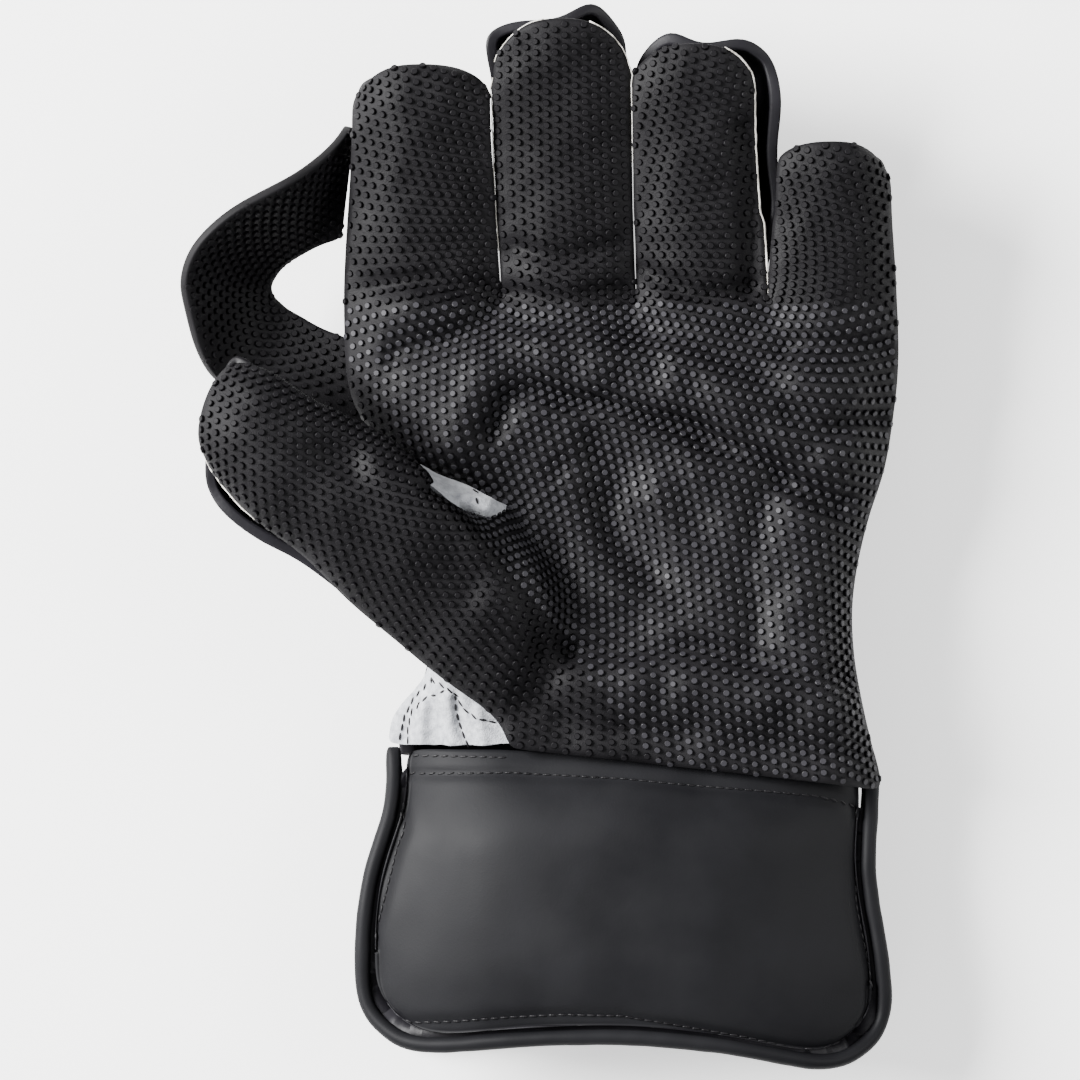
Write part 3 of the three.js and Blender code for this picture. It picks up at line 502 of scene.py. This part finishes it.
def unwrapped(piece):
    """Gives the outer side a flat pattern, in metres and turned as the glove lies."""
    mesh = piece.data
    for other in bpy.context.selected_objects:
        other.select_set(False)
    mesh.uv_layers.new(name="pattern")
    bpy.context.view_layer.objects.active = piece
    piece.select_set(True)
    bpy.ops.object.mode_set(mode="EDIT")
    bpy.ops.uv.unwrap(method="MINIMUM_STRETCH", margin=0)
    bpy.ops.object.mode_set(mode="OBJECT")
    flat = mesh.uv_layers["pattern"].uv
    area = flat_area = 0.0
    turn = complex(0, 0)
    for polygon in mesh.polygons:
        if polygon.material_index != OUTER:
            continue
        corners = [flat[i].vector.copy() for i in polygon.loop_indices]
        places = [mesh.vertices[i].co for i in polygon.vertices]
        area += polygon.area
        flat_area += abs(sum(a.cross(b) for a, b in zip(corners, corners[1:] + corners[:1]))) / 2
        across, carried = corners[1] - corners[0], places[1] - places[0]
        turn += complex(carried.x, carried.y) * complex(across.x, -across.y)
    scale = math.sqrt(area / flat_area) * turn / abs(turn)
    for corner in flat:
        moved = complex(*corner.vector) * scale
        corner.vector = (moved.real, moved.imag)
    return piece


def pimpled_sheet(name, node, thickness, levels, backing):
    """The node's sheet with its flat pattern, made finer."""
    sheet = sheet_from(node, thickness, UP)
    for face in sheet.faces:
        face.select_set(False)
    for face in sheet.faces:
        if face.material_index == OUTER:
            face.select_set(True)
    piece = piece_from(sheet, name, [rubber, rubber, backing])
    return smoothed(unwrapped(piece), levels)


facing = pimpled_sheet("rubber_facing", "palm_facing", RUBBER_THICKNESS, 2, cotton)
print("widest flat pattern in mm:", round(facing.dimensions.x * 1000))

# %% [markdown]
# The sheet is one piece, so its fingers touch where they lie side by side. Smoothing has rounded
# their edges and opened the slits, and a pull towards each slit's middle closes them again. The
# slot at the thumb's fork is pushed open instead, so that its suede shows. Then the folds go in.

# %% Closed slits and folds
SLITS = [
    [(492, 96), (494, 170), (496, 215), (501, 288)],
    [(631, 80), (632, 130), (633, 209), (636, 290)],
    [(765, 226), (768, 296)],
]
SLIT_REACH, SLIT_PULL = 4.5 * MM, 1.3 * MM


def pull_to(path, piece, reach, pull):
    """Draws a piece's points sideways to a path, the nearest ones most."""
    for vertex in piece.data.vertices:
        place = Vector((vertex.co.x, vertex.co.y, 0))
        away = distance_to(place, path)
        if away < reach:
            side = -1 if place.x > path_middle(place, path) else 1
            vertex.co.x += side * min(pull * (1 - away / reach), away * 0.85)


def path_middle(place, path):
    """Where a path that runs up and down passes a place, from left to right."""
    points = sorted(path, key=lambda point: abs(point.y - place.y))[:2]
    low, high = sorted(points, key=lambda point: point.y)
    share = (place.y - low.y) / (high.y - low.y)
    return low.x + (high.x - low.x) * share


def grab(piece, pixel, reach, pull):
    """Pulls the points around a place, in mm along X, Y and Z, as a grab brush does."""
    middle = plan(*pixel)
    shift = Vector(pull) * MM
    for vertex in piece.data.vertices:
        away = (Vector((vertex.co.x, vertex.co.y, 0)) - middle).length / (reach * MM)
        vertex.co += shift * math.exp(-away * away)


def spread_slot(piece, path, reach, push):
    """Pushes a piece's points away from a straight slot, to both sides."""
    start, end = path
    along = (end - start).normalized()
    across = UP.cross(along)
    for vertex in piece.data.vertices:
        place = Vector((vertex.co.x, vertex.co.y, 0))
        away = distance_to(place, path)
        if away < reach:
            side = 1 if (place - start).dot(across) > 0 else -1
            vertex.co += across * side * push * (1 - away / reach)


FORK_SLOT = [plan(432, 484), plan(478, 500)]
SLOT_REACH, SLOT_PUSH = 5.5 * MM, 1.7 * MM
SLOT_ENDS = [
    # pixel, reach in mm, pull along X, Y and Z in mm
    ((437, 484), 3.5, (-1.6, -0.6, 0)),
    ((504, 522), 4, (0.8, 2.6, 0)),
]

for pixels in SLITS:
    pull_to([plan(*pixel) for pixel in pixels], facing, SLIT_REACH, SLIT_PULL)
spread_slot(facing, FORK_SLOT, SLOT_REACH, SLOT_PUSH)
for pixel, reach, pull in SLOT_ENDS:
    grab(facing, pixel, reach, pull)
for vertex in facing.data.vertices:
    vertex.co.z += fold_height(vertex.co)
facing.data.update()
settle(facing, "pimpled_rubber", "palm_facing")

# %% [markdown]
# One pimple is a low stud, 1.9 mm across and 0.95 mm high, with a small fillet at its foot, a
# rounded rim that catches the light and a shallow dish in its top, left by the mould's pin. It is
# a circle, extruded four times.

# %% One pimple
PIMPLE_RADIUS = 0.95 * MM
PIMPLE_HEIGHT = 0.95 * MM
PIMPLE_SIDES = 8
FOOT_RADIUS, FOOT_DEPTH = 1.25 * PIMPLE_RADIUS, 0.35 * MM
FLAT_TOP = 0.4
PIMPLE_RINGS = [
    # height and radius of each ring, as shares of the pimple's, from its foot to its dish
    (0.1, 1.03),
    (0.8, 0.97),
    (1.0, 0.8),
    (0.86, 0.42),
]


def pimple_template():
    """The mesh of one pimple, standing on the origin, with its height as a UV map."""
    stud = bmesh.new()
    bmesh.ops.create_circle(stud, cap_ends=True, radius=FOOT_RADIUS, segments=PIMPLE_SIDES)
    bmesh.ops.translate(stud, verts=stud.verts, vec=(0, 0, -FOOT_DEPTH))
    face = stud.faces[:][0]
    wide = FOOT_RADIUS
    for height, radius in PIMPLE_RINGS:
        made = bmesh.ops.extrude_face_region(stud, geom=[face], use_keep_orig=len(stud.faces) == 1)
        face = [item for item in made["geom"] if isinstance(item, bmesh.types.BMFace)][0]
        narrower = PIMPLE_RADIUS * radius / wide
        bmesh.ops.scale(stud, verts=face.verts, vec=(narrower, narrower, 1))
        lift = height * PIMPLE_HEIGHT - face.calc_center_median().z
        bmesh.ops.translate(stud, verts=face.verts, vec=(0, 0, lift))
        wide = PIMPLE_RADIUS * radius
    bmesh.ops.recalc_face_normals(stud, faces=stud.faces)
    height_map = stud.loops.layers.uv.new("height")
    for polygon in stud.faces:
        polygon.smooth = polygon.normal.z < FLAT_TOP
        for loop in polygon.loops:
            loop[height_map].uv = (max(0.0, loop.vert.co.z / PIMPLE_HEIGHT), 0)
    mesh = bpy.data.meshes.new("pimple")
    stud.to_mesh(mesh)
    stud.free()
    return mesh


def stamped(name, template, places, finish):
    """One piece that holds a copy of the template at each of the places."""
    joined = bmesh.new()
    for place in places:
        copy = template.copy()
        copy.transform(place)
        joined.from_mesh(copy)
        bpy.data.meshes.remove(copy)
    for face in joined.faces:
        face.material_index = 0
    return piece_from(joined, name, [finish])


# %% [markdown]
# The studs stand in a hexagonal pattern about 3.1 mm apart, whose straight columns run along the
# fingers. The pattern is laid over the flat sheet, and each place that falls on it, clear of the
# cut edge, is carried to the glove with the triangle that it lies in. Handling wears the studs
# beside the edges down, so those within 3 mm or so are half as high.

# %% The pimple pattern
PIMPLE_PITCH = 3.1 * MM
COLUMNS_UP = math.radians(31)
EDGE_CLEARANCE = 0.45 * MM
ON_PATTERN = 0.02 * MM
CORNER_STEPS = [Vector((x, y, 0)) * EDGE_CLEARANCE for x, y in ((1, 0), (-1, 0), (0, 1), (0, -1))]
WORN_STEPS, WORN_HEIGHT = 7, 0.5
random.seed(7)


def pimple_places(piece, turn=COLUMNS_UP):
    """Where the pimples stand on a sheet, as matrices."""
    mesh = piece.data
    mesh.calc_loop_triangles()
    flat = mesh.uv_layers["pattern"].uv
    corners, triangles = [], []
    for triangle in mesh.loop_triangles:
        if mesh.polygons[triangle.polygon_index].material_index == OUTER:
            triangles.append(triangle)
            corners.extend(Vector((*flat[i].vector, 0)) for i in triangle.loops)
    index = [(3 * i, 3 * i + 1, 3 * i + 2) for i in range(len(triangles))]
    pattern = BVHTree.FromPolygons(corners, index, all_triangles=True)
    reach = max(corner.length for corner in corners)
    steps = int(reach / PIMPLE_PITCH) + 2
    places = []
    for row in range(-steps, steps):
        for column in range(-steps, steps):
            across = (column + 0.5 * (row % 2)) * PIMPLE_PITCH
            up = row * PIMPLE_PITCH * math.sin(math.radians(60))
            spot = Matrix.Rotation(turn, 3, "Z") @ Vector((across, up, 0))
            hit = pattern.find_nearest(spot, ON_PATTERN)[2]
            if hit is None:
                continue
            if any(pattern.find_nearest(spot + step, ON_PATTERN)[2] is None for step in CORNER_STEPS):
                continue
            triangle = triangles[hit]
            ends = [mesh.vertices[i].co for i in triangle.vertices]
            normals = [mesh.vertices[i].normal for i in triangle.vertices]
            place = barycentric_transform(spot, *corners[3 * hit : 3 * hit + 3], *ends)
            normal = barycentric_transform(spot, *corners[3 * hit : 3 * hit + 3], *normals)
            tilt = UP.rotation_difference(normal).to_matrix().to_4x4()
            spin = Matrix.Rotation(random.uniform(0, math.tau), 4, "Z")
            size = random.uniform(0.94, 1.05)
            beside_edge = [pattern.find_nearest(spot + step * WORN_STEPS, ON_PATTERN)[2] for step in CORNER_STEPS]
            low = WORN_HEIGHT if None in beside_edge else 1
            shape = Matrix.Diagonal((size, size, size * low, 1))
            places.append(Matrix.Translation(place) @ tilt @ spin @ shape)
    return places


pimple = pimple_template()
facing_places = pimple_places(facing)
FINGER_ROOTS = 66 * MM
MIDDLE_SLIT = plan(634, 0).x
THUMB_CREASE = [plan(400, 430), plan(560, 640)]


def beside_thumb(place):
    """Whether a place lies on the thumb's side of the crease."""
    start, end = THUMB_CREASE
    spot = place.to_translation()
    return (end - start).cross(spot - start).z < 0 and spot.y < start.y + 25 * MM


areas = {"left_finger_pimples": [], "right_finger_pimples": [], "thumb_pimples": [], "palm_pimples": []}
for place in facing_places:
    spot = place.to_translation()
    if spot.y > FINGER_ROOTS:
        areas["left_finger_pimples" if spot.x < MIDDLE_SLIT else "right_finger_pimples"].append(place)
    elif beside_thumb(place):
        areas["thumb_pimples"].append(place)
    else:
        areas["palm_pimples"].append(place)
# The palm's pimples take the lighter painted highlight on their tops, and the others take the darker painted shade.
for name, places in areas.items():
    finish = painted_lit_pimples if name == "palm_pimples" else painted_shaded_pimples
    settle(stamped(name, pimple, places, finish), "pimpled_rubber")

# %% [markdown]
# Where the sheet's cut edge stands clear of the leather, its cotton shows as a thin pale line. The
# upper strip of the rim is copied there, in places that the photograph shows, lifted a little so
# that it shows from above, and thickened outwards with a frayed width.

# %% Pale cut edges
PALE_EDGES = [
    # width of the line in mm, -1 where the rim faces left and 1 where right, pixels of its path
    (0.3, -1, [(491, 92), (494, 140), (499, 190), (501, 236)]),
    (0.25, -1, [(496, 50), (507, 34), (530, 24)]),
    (0.3, 1, [(600, 20), (612, 26), (628, 52), (634, 90), (636, 150)]),
    (0.45, 1, [(736, 58), (754, 95), (760, 140), (760, 212), (764, 288)]),
    (0.4, 1, [(772, 282), (770, 302)]),
    (0.3, -1, [(212, 472), (232, 499), (250, 518)]),
]
EDGE_REACH = 3.5 * MM
LEDGE_OUT = 0.16 * MM
FRAY_SIZE, FRAY = 1.3 * MM, 0.16 * MM


def pale_edge(piece, width, side, path):
    """A strip of cotton along the piece's rim, near a path and facing a side."""
    source = bmesh.new()
    source.from_mesh(piece.data)
    kept = {}
    for face in source.faces:
        beside = [n for e in face.edges for n in e.link_faces if n.material_index == OUTER]
        middle = face.calc_center_median()
        near = distance_to(Vector((middle.x, middle.y, 0)), path) < EDGE_REACH
        if face.material_index == RIM and near and beside and face.normal.x * side > 0:
            kept[face] = beside[0].normal.copy()
    for face, normal in kept.items():
        for vertex in face.verts:
            vertex.co += normal * LEDGE_OUT / 2
    bmesh.ops.delete(source, geom=[f for f in source.faces if f not in kept], context="FACES")
    bmesh.ops.solidify(source, geom=source.faces[:], thickness=-width)
    for vertex in source.verts:
        fray = noise.noise(vertex.co / FRAY_SIZE) * FRAY
        vertex.co += Vector((fray, fray, 0))
    return source


cut_edges = bmesh.new()
for width, side, pixels in PALE_EDGES:
    ledge = pale_edge(facing, width * MM, side, [plan(*pixel) for pixel in pixels])
    ledge_mesh = bpy.data.meshes.new("ledge")
    ledge.to_mesh(ledge_mesh)
    ledge.free()
    cut_edges.from_mesh(ledge_mesh)
    bpy.data.meshes.remove(ledge_mesh)
for face in cut_edges.faces:
    face.material_index = 0
settle(piece_from(cut_edges, "pale_cut_edges", [cotton]), "pimpled_rubber")

# %% [markdown]
# The web is a strip of the same rubber, bent into a bowl between the index finger and the thumb.
# Its back can't be seen in the photograph, so it is plain leather like the backs of the fingers.

# %% The web
WEB_THICKNESS = 2.4 * MM
WEB_FOOT, WEB_FOOT_REACH, WEB_FOOT_PULL = (350, 412), 8, (3.4, -3.4, 0)
web = pimpled_sheet("rubber_web", "web", WEB_THICKNESS, 2, cowhide)
grab(web, WEB_FOOT, WEB_FOOT_REACH, WEB_FOOT_PULL)
settle(web, "pimpled_rubber", "web")
WEB_COLUMNS = math.radians(25)
web_places = pimple_places(web, WEB_COLUMNS)
settle(stamped("web_pimples", pimple, web_places, painted_shaded_pimples), "pimpled_rubber")

# %% [markdown]
# The leather stalls, the back of the hand and the thumb's root are padded leather. Their packed
# troughs only need to be made finer, because soft leather over padding has no sharp form of its
# own. A little unevenness keeps the highlights from running straight.

# %% Leather stalls and back
LEATHER_PIECES = [
    # new name, node, thickness in mm
    ("index_leather", "index_stall", 3),
    ("middle_leather", "middle_stall", 3),
    ("ring_leather", "ring_stall", 3),
    ("little_leather", "little_stall", 3),
    ("thumb_leather", "thumb_stall", 3),
    ("thumb_root_leather", "thumb_root", 2),
    ("back_leather", "hand_back", 4.5),
    ("cuff_thumb_side_leather", "cuff_thumb_gusset", 2),
    ("cuff_little_side_leather", "cuff_little_gusset", 2),
]
UNEVEN_SIZE, UNEVEN_HEIGHT = 9 * MM, 0.25 * MM


def uneven(piece, size=UNEVEN_SIZE, height=UNEVEN_HEIGHT):
    """Moves the piece's points a little in and out, and never below the floor."""
    normals = [vertex.normal.copy() for vertex in piece.data.vertices]
    for vertex, normal in zip(piece.data.vertices, normals):
        moved = vertex.co + normal * noise.noise(vertex.co / size) * height
        vertex.co = (moved.x, moved.y, max(moved.z, 0.0))
    piece.data.update()
    return piece


leather = {}
for name, node, thickness in LEATHER_PIECES:
    sheet = sheet_from(node, thickness * MM, -UP)
    leather[name] = piece_from(sheet, name, [cowhide, cowhide, cowhide], 2)

# %% [markdown]
# At the fingertips the stalls' corners stand out past the rubber like ears, the right one of the
# ring finger most. Each ear is drawn out of its stall by pulling the points around one place.

# %% Ears of the stalls
EARS = [
    # piece, pixel at the ear's middle, reach in mm, pull along X, Y and Z in mm
    ("middle_leather", (590, 8), 6, (0, 1.4, 0)),
    ("middle_leather", (486, 40), 9, (-2.4, 0.6, 3.5)),
    ("ring_leather", (672, 42), 6, (0, 2.4, 0)),
    ("ring_leather", (742, 42), 8, (0.6, 1.7, 1.5)),
    ("ring_leather", (780, 100), 13, (3.0, 0.2, 3.5)),
    ("ring_leather", (770, 215), 13, (3.5, 0, 0)),
    ("thumb_leather", (225, 520), 16, (-1.6, -1.2, 0)),
]

for name, pixel, reach, pull in EARS:
    grab(leather[name], pixel, reach, pull)
for name, node, _ in LEATHER_PIECES:
    settle(uneven(leather[name]), "leather", node)

# %% [markdown]
# Pale suede closes the gap beside the wrist and the fork of the thumb. It is thin and soft, so it
# puckers at its seams. Each pucker is a short soft ridge, raised like the folds of the palm, and
# the last and highest one lifts the fork's suede up into the slot, where light reaches it.

# %% Suede gussets
SUEDE_THICKNESS = 1.6 * MM
PUCKERS = [
    # half width in mm, height in mm, pixels of its path
    (1.8, 1.3, [(420, 708), (418, 744)]),
    (1.6, -1.2, [(432, 700), (433, 746)]),
    (1.8, 1.2, [(446, 700), (450, 746)]),
    (1.4, -1.3, [(431, 684), (412, 704), (402, 742)]),
    (1.8, 1.1, [(478, 712), (482, 746)]),
    (1.4, -1.4, [(455, 700), (461, 730), (468, 746)]),
    (1.2, -1.0, [(456, 695), (463, 709), (477, 719), (500, 724)]),
    (6.5, 19.0, [(425, 486), (485, 508)]),
]
SUEDE_BULGE = [
    # pixel, reach in mm, pull along X, Y and Z in mm
    ((402, 712), 8, (-2.8, 0.8, 0)),
    ((392, 744), 5, (-1.6, 0, 0)),
]
pucker_paths = [(width * MM, height * MM, [plan(*pixel) for pixel in path]) for width, height, path in PUCKERS]


def pucker(piece):
    """Raises the puckers in the pieces of suede that they cross."""
    for vertex in piece.data.vertices:
        place = Vector((vertex.co.x, vertex.co.y, 0))
        for width, rise, path in pucker_paths:
            away = distance_to(place, path) / width
            vertex.co.z += rise * math.exp(-away * away)


suedes = {}
for name, node in (("wrist_suede", "wrist_gusset"), ("fork_suede", "fork_gusset")):
    sheet = sheet_from(node, SUEDE_THICKNESS, UP)
    piece = piece_from(sheet, name, [suede, suede, suede], 3)
    for pixel, reach, pull in SUEDE_BULGE:
        grab(piece, pixel, reach, pull)
    pucker(piece)
    suedes[name] = settle(uneven(piece, 6 * MM, 0.5 * MM), "suede", node)

# %% [markdown]
# The cuff has two padded panels. Foam pushes the leather out between the seams, so each panel is
# blown up a little as a cloth that is held at its rim, and the simulation finds the crown and the
# slack that a hand would have to guess. How far a point may move is capped, because leather over
# foam hardly stretches. The seam then runs in a shallow channel just inside the panel's edge.

# %% Padding by cloth simulation
PRESSURE = 4.0
BLOWN_FRAMES = 20
MOST_SWELL = 3.0 * MM


def padded_out(piece, most):
    """Blows a panel up as cloth held at its rim, and keeps the shape, capped."""
    start = [vertex.co.copy() for vertex in piece.data.vertices]
    rim = {i for face in piece.data.polygons if face.material_index == RIM for i in face.vertices}
    piece.vertex_groups.new(name="held").add(list(rim), 1.0, "REPLACE")
    cloth = piece.modifiers.new("padding", "CLOTH")
    cloth.settings.vertex_group_mass = "held"
    cloth.settings.effector_weights.gravity = 0
    cloth.settings.use_pressure = True
    cloth.settings.uniform_pressure_force = PRESSURE
    for frame_number in range(1, BLOWN_FRAMES + 1):
        bpy.context.scene.frame_set(frame_number)
    graph = bpy.context.evaluated_depsgraph_get()
    blown = [vertex.co.copy() for vertex in piece.evaluated_get(graph).data.vertices]
    piece.modifiers.clear()
    piece.vertex_groups.clear()
    bpy.context.scene.frame_set(1)
    moves = [end - begin for begin, end in zip(start, blown)]
    for vertex, move in zip(piece.data.vertices, moves):
        if move.length > most:
            move = move.normalized() * most
        vertex.co += move
    print(piece.name, "swelled by up to", round(max(move.length for move in moves) * 1000, 1), "mm, capped")
    return piece


# %% Cuff panels
CUFF_THICKNESS = 7 * MM
SEAM_PIXELS = {
    "left": [(397, 760), (403, 797), (404, 831), (397, 848), (386, 892), (376, 932), (369, 971), (369, 988)],
    "hem": [(376, 1005), (393, 1019), (413, 1024), (452, 1022), (508, 1017), (564, 1014), (620, 1015),
            (673, 1024), (745, 1037), (794, 1049), (818, 1051), (842, 1043), (862, 1032), (869, 1022)],
    "right": [(873, 1010), (873, 986), (868, 957), (862, 930), (857, 904), (857, 887), (860, 855),
              (861, 821), (857, 809), (842, 803)],
    "top": [(818, 797), (770, 792), (721, 788), (673, 784), (624, 779), (510, 773), (410, 775)],
    "edge": [(396, 757), (450, 757), (508, 758)],
}
outer_seam = [plan(*pixel) for side in ("left", "hem", "right", "top") for pixel in SEAM_PIXELS[side]]
edge_seam = [plan(*pixel) for pixel in SEAM_PIXELS["edge"]]
CHANNEL_WIDTH, CHANNEL_DEPTH = 1.5 * MM, 0.9 * MM
VALLEY_WIDTH, VALLEY_DEPTH = 4.5 * MM, 2.2 * MM


def press_seam(piece, seam, piping):
    """Presses a seam's channel, and the valley along the piping, into a panel's upper side."""
    upward = [vertex for vertex in piece.data.vertices if vertex.normal.z > 0.3]
    for vertex in upward:
        away = distance_to(Vector((vertex.co.x, vertex.co.y, 0)), seam) / CHANNEL_WIDTH
        beside = piping.find_nearest(vertex.co)[3] / VALLEY_WIDTH
        vertex.co.z -= CHANNEL_DEPTH * math.exp(-away * away) + VALLEY_DEPTH * math.exp(-beside * beside)
    piece.data.update()


front = piece_from(sheet_from("cuff_front", CUFF_THICKNESS, UP), "cuff_front_pad", [coated, cowhide, coated], 1)
smoothed(padded_out(front, MOST_SWELL), 2)
front_piping = BVHTree.FromObject(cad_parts["cuff_front_piping"], bpy.context.evaluated_depsgraph_get())
press_seam(front, outer_seam, front_piping)
settle(uneven(front, 18 * MM, 0.5 * MM), "cuff_leather", "cuff_front")

back = piece_from(sheet_from("cuff_back", CUFF_THICKNESS, -UP), "cuff_back_pad", [coated, cowhide, coated], 1)
smoothed(padded_out(back, MOST_SWELL), 1)
settle(uneven(back, 18 * MM, 0.4 * MM), "cuff_leather", "cuff_back")

# %% [markdown]
# A roll of leather over a cord finishes each panel's edge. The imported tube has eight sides, and
# two levels of smoothing make it round.

# %% Piping
for name, node in (("cuff_front_roll", "cuff_front_piping"), ("cuff_back_roll", "cuff_back_piping")):
    tube = bmesh.new()
    tube.from_mesh(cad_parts[node].data)
    bmesh.ops.remove_doubles(tube, verts=tube.verts, dist=0.002 * MM)
    bmesh.ops.join_triangles(tube, faces=tube.faces, angle_face_threshold=math.pi, angle_shape_threshold=math.pi)
    for face in tube.faces:
        face.material_index = 0
        face.smooth = True
    settle(uneven(piece_from(tube, name, [coated], 2), 6 * MM, 0.15 * MM), "piping", node)

# %% [markdown]
# A seam is a row of short stitches, each a plump grain of thread half sunk in the leather. One
# grain is modelled and stamped along the seam, 3 mm from one to the next, and each lies on the
# surface under it.

# %% Stitches
STITCH_LENGTH, STITCH_GAP, STITCH_RADIUS = 2.3 * MM, 0.4 * MM, 0.32 * MM


def stitch_template():
    """One stitch along X, as long and as thick as a real one."""
    grain_of_thread = bmesh.new()
    bmesh.ops.create_uvsphere(grain_of_thread, u_segments=8, v_segments=6, radius=1)
    bmesh.ops.rotate(grain_of_thread, verts=grain_of_thread.verts, matrix=Matrix.Rotation(math.pi / 2, 3, "Y"))
    size = (STITCH_LENGTH / 2, STITCH_RADIUS, STITCH_RADIUS)
    bmesh.ops.scale(grain_of_thread, verts=grain_of_thread.verts, vec=size)
    for face in grain_of_thread.faces:
        face.smooth = True
    mesh = bpy.data.meshes.new("stitch")
    grain_of_thread.to_mesh(mesh)
    grain_of_thread.free()
    return mesh


def along_path(path, step):
    """Places a step apart along a path, with the direction at each."""
    left_over = 0.0
    for start, end in zip(path, path[1:]):
        length = (end - start).length
        direction = (end - start) / length
        spot = left_over
        while spot < length:
            yield start + direction * spot, direction
            spot += step
        left_over = spot - length


def stitch_places(path, pieces, sink=0.3):
    """A matrix for each stitch of a seam, on the highest of the pieces under it."""
    graph = bpy.context.evaluated_depsgraph_get()
    trees = [BVHTree.FromObject(piece, graph) for piece in pieces]
    places = []
    for spot, direction in along_path(path, STITCH_LENGTH + STITCH_GAP):
        hits = [tree.ray_cast(Vector((spot.x, spot.y, 0.2)), -UP) for tree in trees]
        hits = [(place, normal) for place, normal, _, _ in hits if place]
        if not hits:
            continue
        place, normal = max(hits, key=lambda hit: hit[0].z)
        run = (direction - normal * direction.dot(normal)).normalized()
        side = normal.cross(run)
        turn = Matrix((run, side, normal)).transposed().to_4x4()
        places.append(Matrix.Translation(place + normal * STITCH_RADIUS * sink) @ turn)
    return places


MARGIN_STEP, MARGIN_WIDTH, MARGIN_DROP = 1.5 * MM, 8 * MM, 3 * MM
MARGIN_TUCK, MARGIN_THICKNESS = 1.6 * MM, 0.8 * MM
MARGIN_START, MARGIN_END = (384, 748), (870, 786)
CUFF_HEIGHT = 45 * MM


def margin_from(path, piping):
    """A ribbon of leather from the piping inwards and down, under the rim of the pad."""
    ribbon = bmesh.new()
    rungs = []
    for spot, direction in along_path(path, MARGIN_STEP):
        seat = piping.find_nearest(spot + UP * CUFF_HEIGHT)[0]
        outer = seat - UP * MARGIN_TUCK
        inner = outer + UP.cross(direction) * MARGIN_WIDTH - UP * MARGIN_DROP
        rungs.append((ribbon.verts.new(inner), ribbon.verts.new(outer)))
    for(inner, outer), (next_inner, next_outer) in zip(rungs, rungs[1:]):
        ribbon.faces.new((inner, outer, next_outer, next_inner)).smooth = True
    ribbon.normal_update()
    bmesh.ops.solidify(ribbon, geom=ribbon.faces[:], thickness=MARGIN_THICKNESS)
    return ribbon


margin_pixels = [MARGIN_START, *SEAM_PIXELS["left"], *SEAM_PIXELS["hem"], *SEAM_PIXELS["right"][:-2], MARGIN_END]
margin_path = [plan(*pixel) for pixel in margin_pixels]
settle(piece_from(margin_from(margin_path, front_piping),"cuff_front_margin", [cowhide]), "cuff_leather")

stitch = stitch_template()
cuff_places =stitch_places(outer_seam, [front]) + stitch_places(edge_seam, [front])
settle(stamped("cuff_stitches", stitch, cuff_places, thread), "cuff_leather")

SUEDE_SEAMS = [
    [(431, 681), (413, 699), (403, 719), (398, 741)],
    [(442, 692), (424, 700), (411, 713), (407, 730), (407, 748)],
    [(433, 681), (448, 689), (455, 697), (455, 707), (458, 721), (463, 735), (468, 747)],
    [(456, 695), (463, 709), (477, 719), (500, 724)],
    [(474, 482), (478, 506)],
]
suede_places = []
for pixels in SUEDE_SEAMS:
    suede_places += stitch_places([plan(*pixel) for pixel in pixels], list(suedes.values()))
settle(stamped("suede_stitches", stitch, suede_places, thread), "suede")

# %% [markdown]
# The glove lies on a plain pale floor under soft light. What lies flat mirrors what hangs straight
# above, so no lamp hangs there and black stays black. A wide panel from the upper left gives each
# pimple a light rim and a shadow, and two weak ones keep the other sides from going quite dark. The
# paper is lit from below as on a light table, which makes it almost white.

# %% Floor and light
FLOOR_SIZE = 4.0
PAPER_CLOUD = 0.4
stage = bmesh.new()
bmesh.ops.create_grid(stage, x_segments=1, y_segments=1, size=FLOOR_SIZE / 2)


def floor_surface(tree, place):
    fibre = add(tree, "ShaderNodeTexNoise", {"Vector": place, "Scale": 1 / PAPER_CLOUD}).outputs["Fac"]
    shades = {FACTOR: fibre, FIRST: linear("#f6f6f5"), SECOND: linear("#fafaf9")}
    shine = {**NOISE_SPAN, "Value": fibre, "To Min": 0.85, "To Max": 0.9}
    return {
        "Base Color": add(tree, "ShaderNodeMix", shades, data_type="RGBA").outputs[MIXED],
        "Roughness": add(tree, "ShaderNodeMapRange", shine).outputs["Result"],
    }


paper_glow = {"Specular IOR Level": 0.2, "Emission Color": (1, 1, 1, 1), "Emission Strength": 0.9}
floor = piece_from(stage, "floor", [finish_named("pale_paper_lit_from_below", paper_glow, floor_surface)])


def soft_light(name, place, size, watts):
    """A square light at a place, aimed at the glove."""
    data = bpy.data.lights.new(name, "AREA")
    data.shape = "SQUARE"
    data.size = size
    data.energy = watts
    lamp = bpy.data.objects.new(name, data)
    lamp.location = place
    lamp.rotation_euler = (-Vector(place)).to_track_quat("-Z", "Y").to_euler()
    bpy.context.scene.collection.objects.link(lamp)


soft_light("upper_left", (-1.5, 0.5, 1.15), 1.0, 225)
soft_light("right", (1.6, 0.2, 1.2), 1.0, 26)
soft_light("below", (-0.6, -1.6, 1.3), 1.0, 8)

world = bpy.data.worlds.new("room")
world.use_nodes = True
world.node_tree.nodes["Background"].inputs["Color"].default_value = (0.96, 0.97, 1, 1)
world.node_tree.nodes["Background"].inputs["Strength"].default_value = 0.5
bpy.context.scene.world = world
print("lamps:", len(bpy.data.lights))
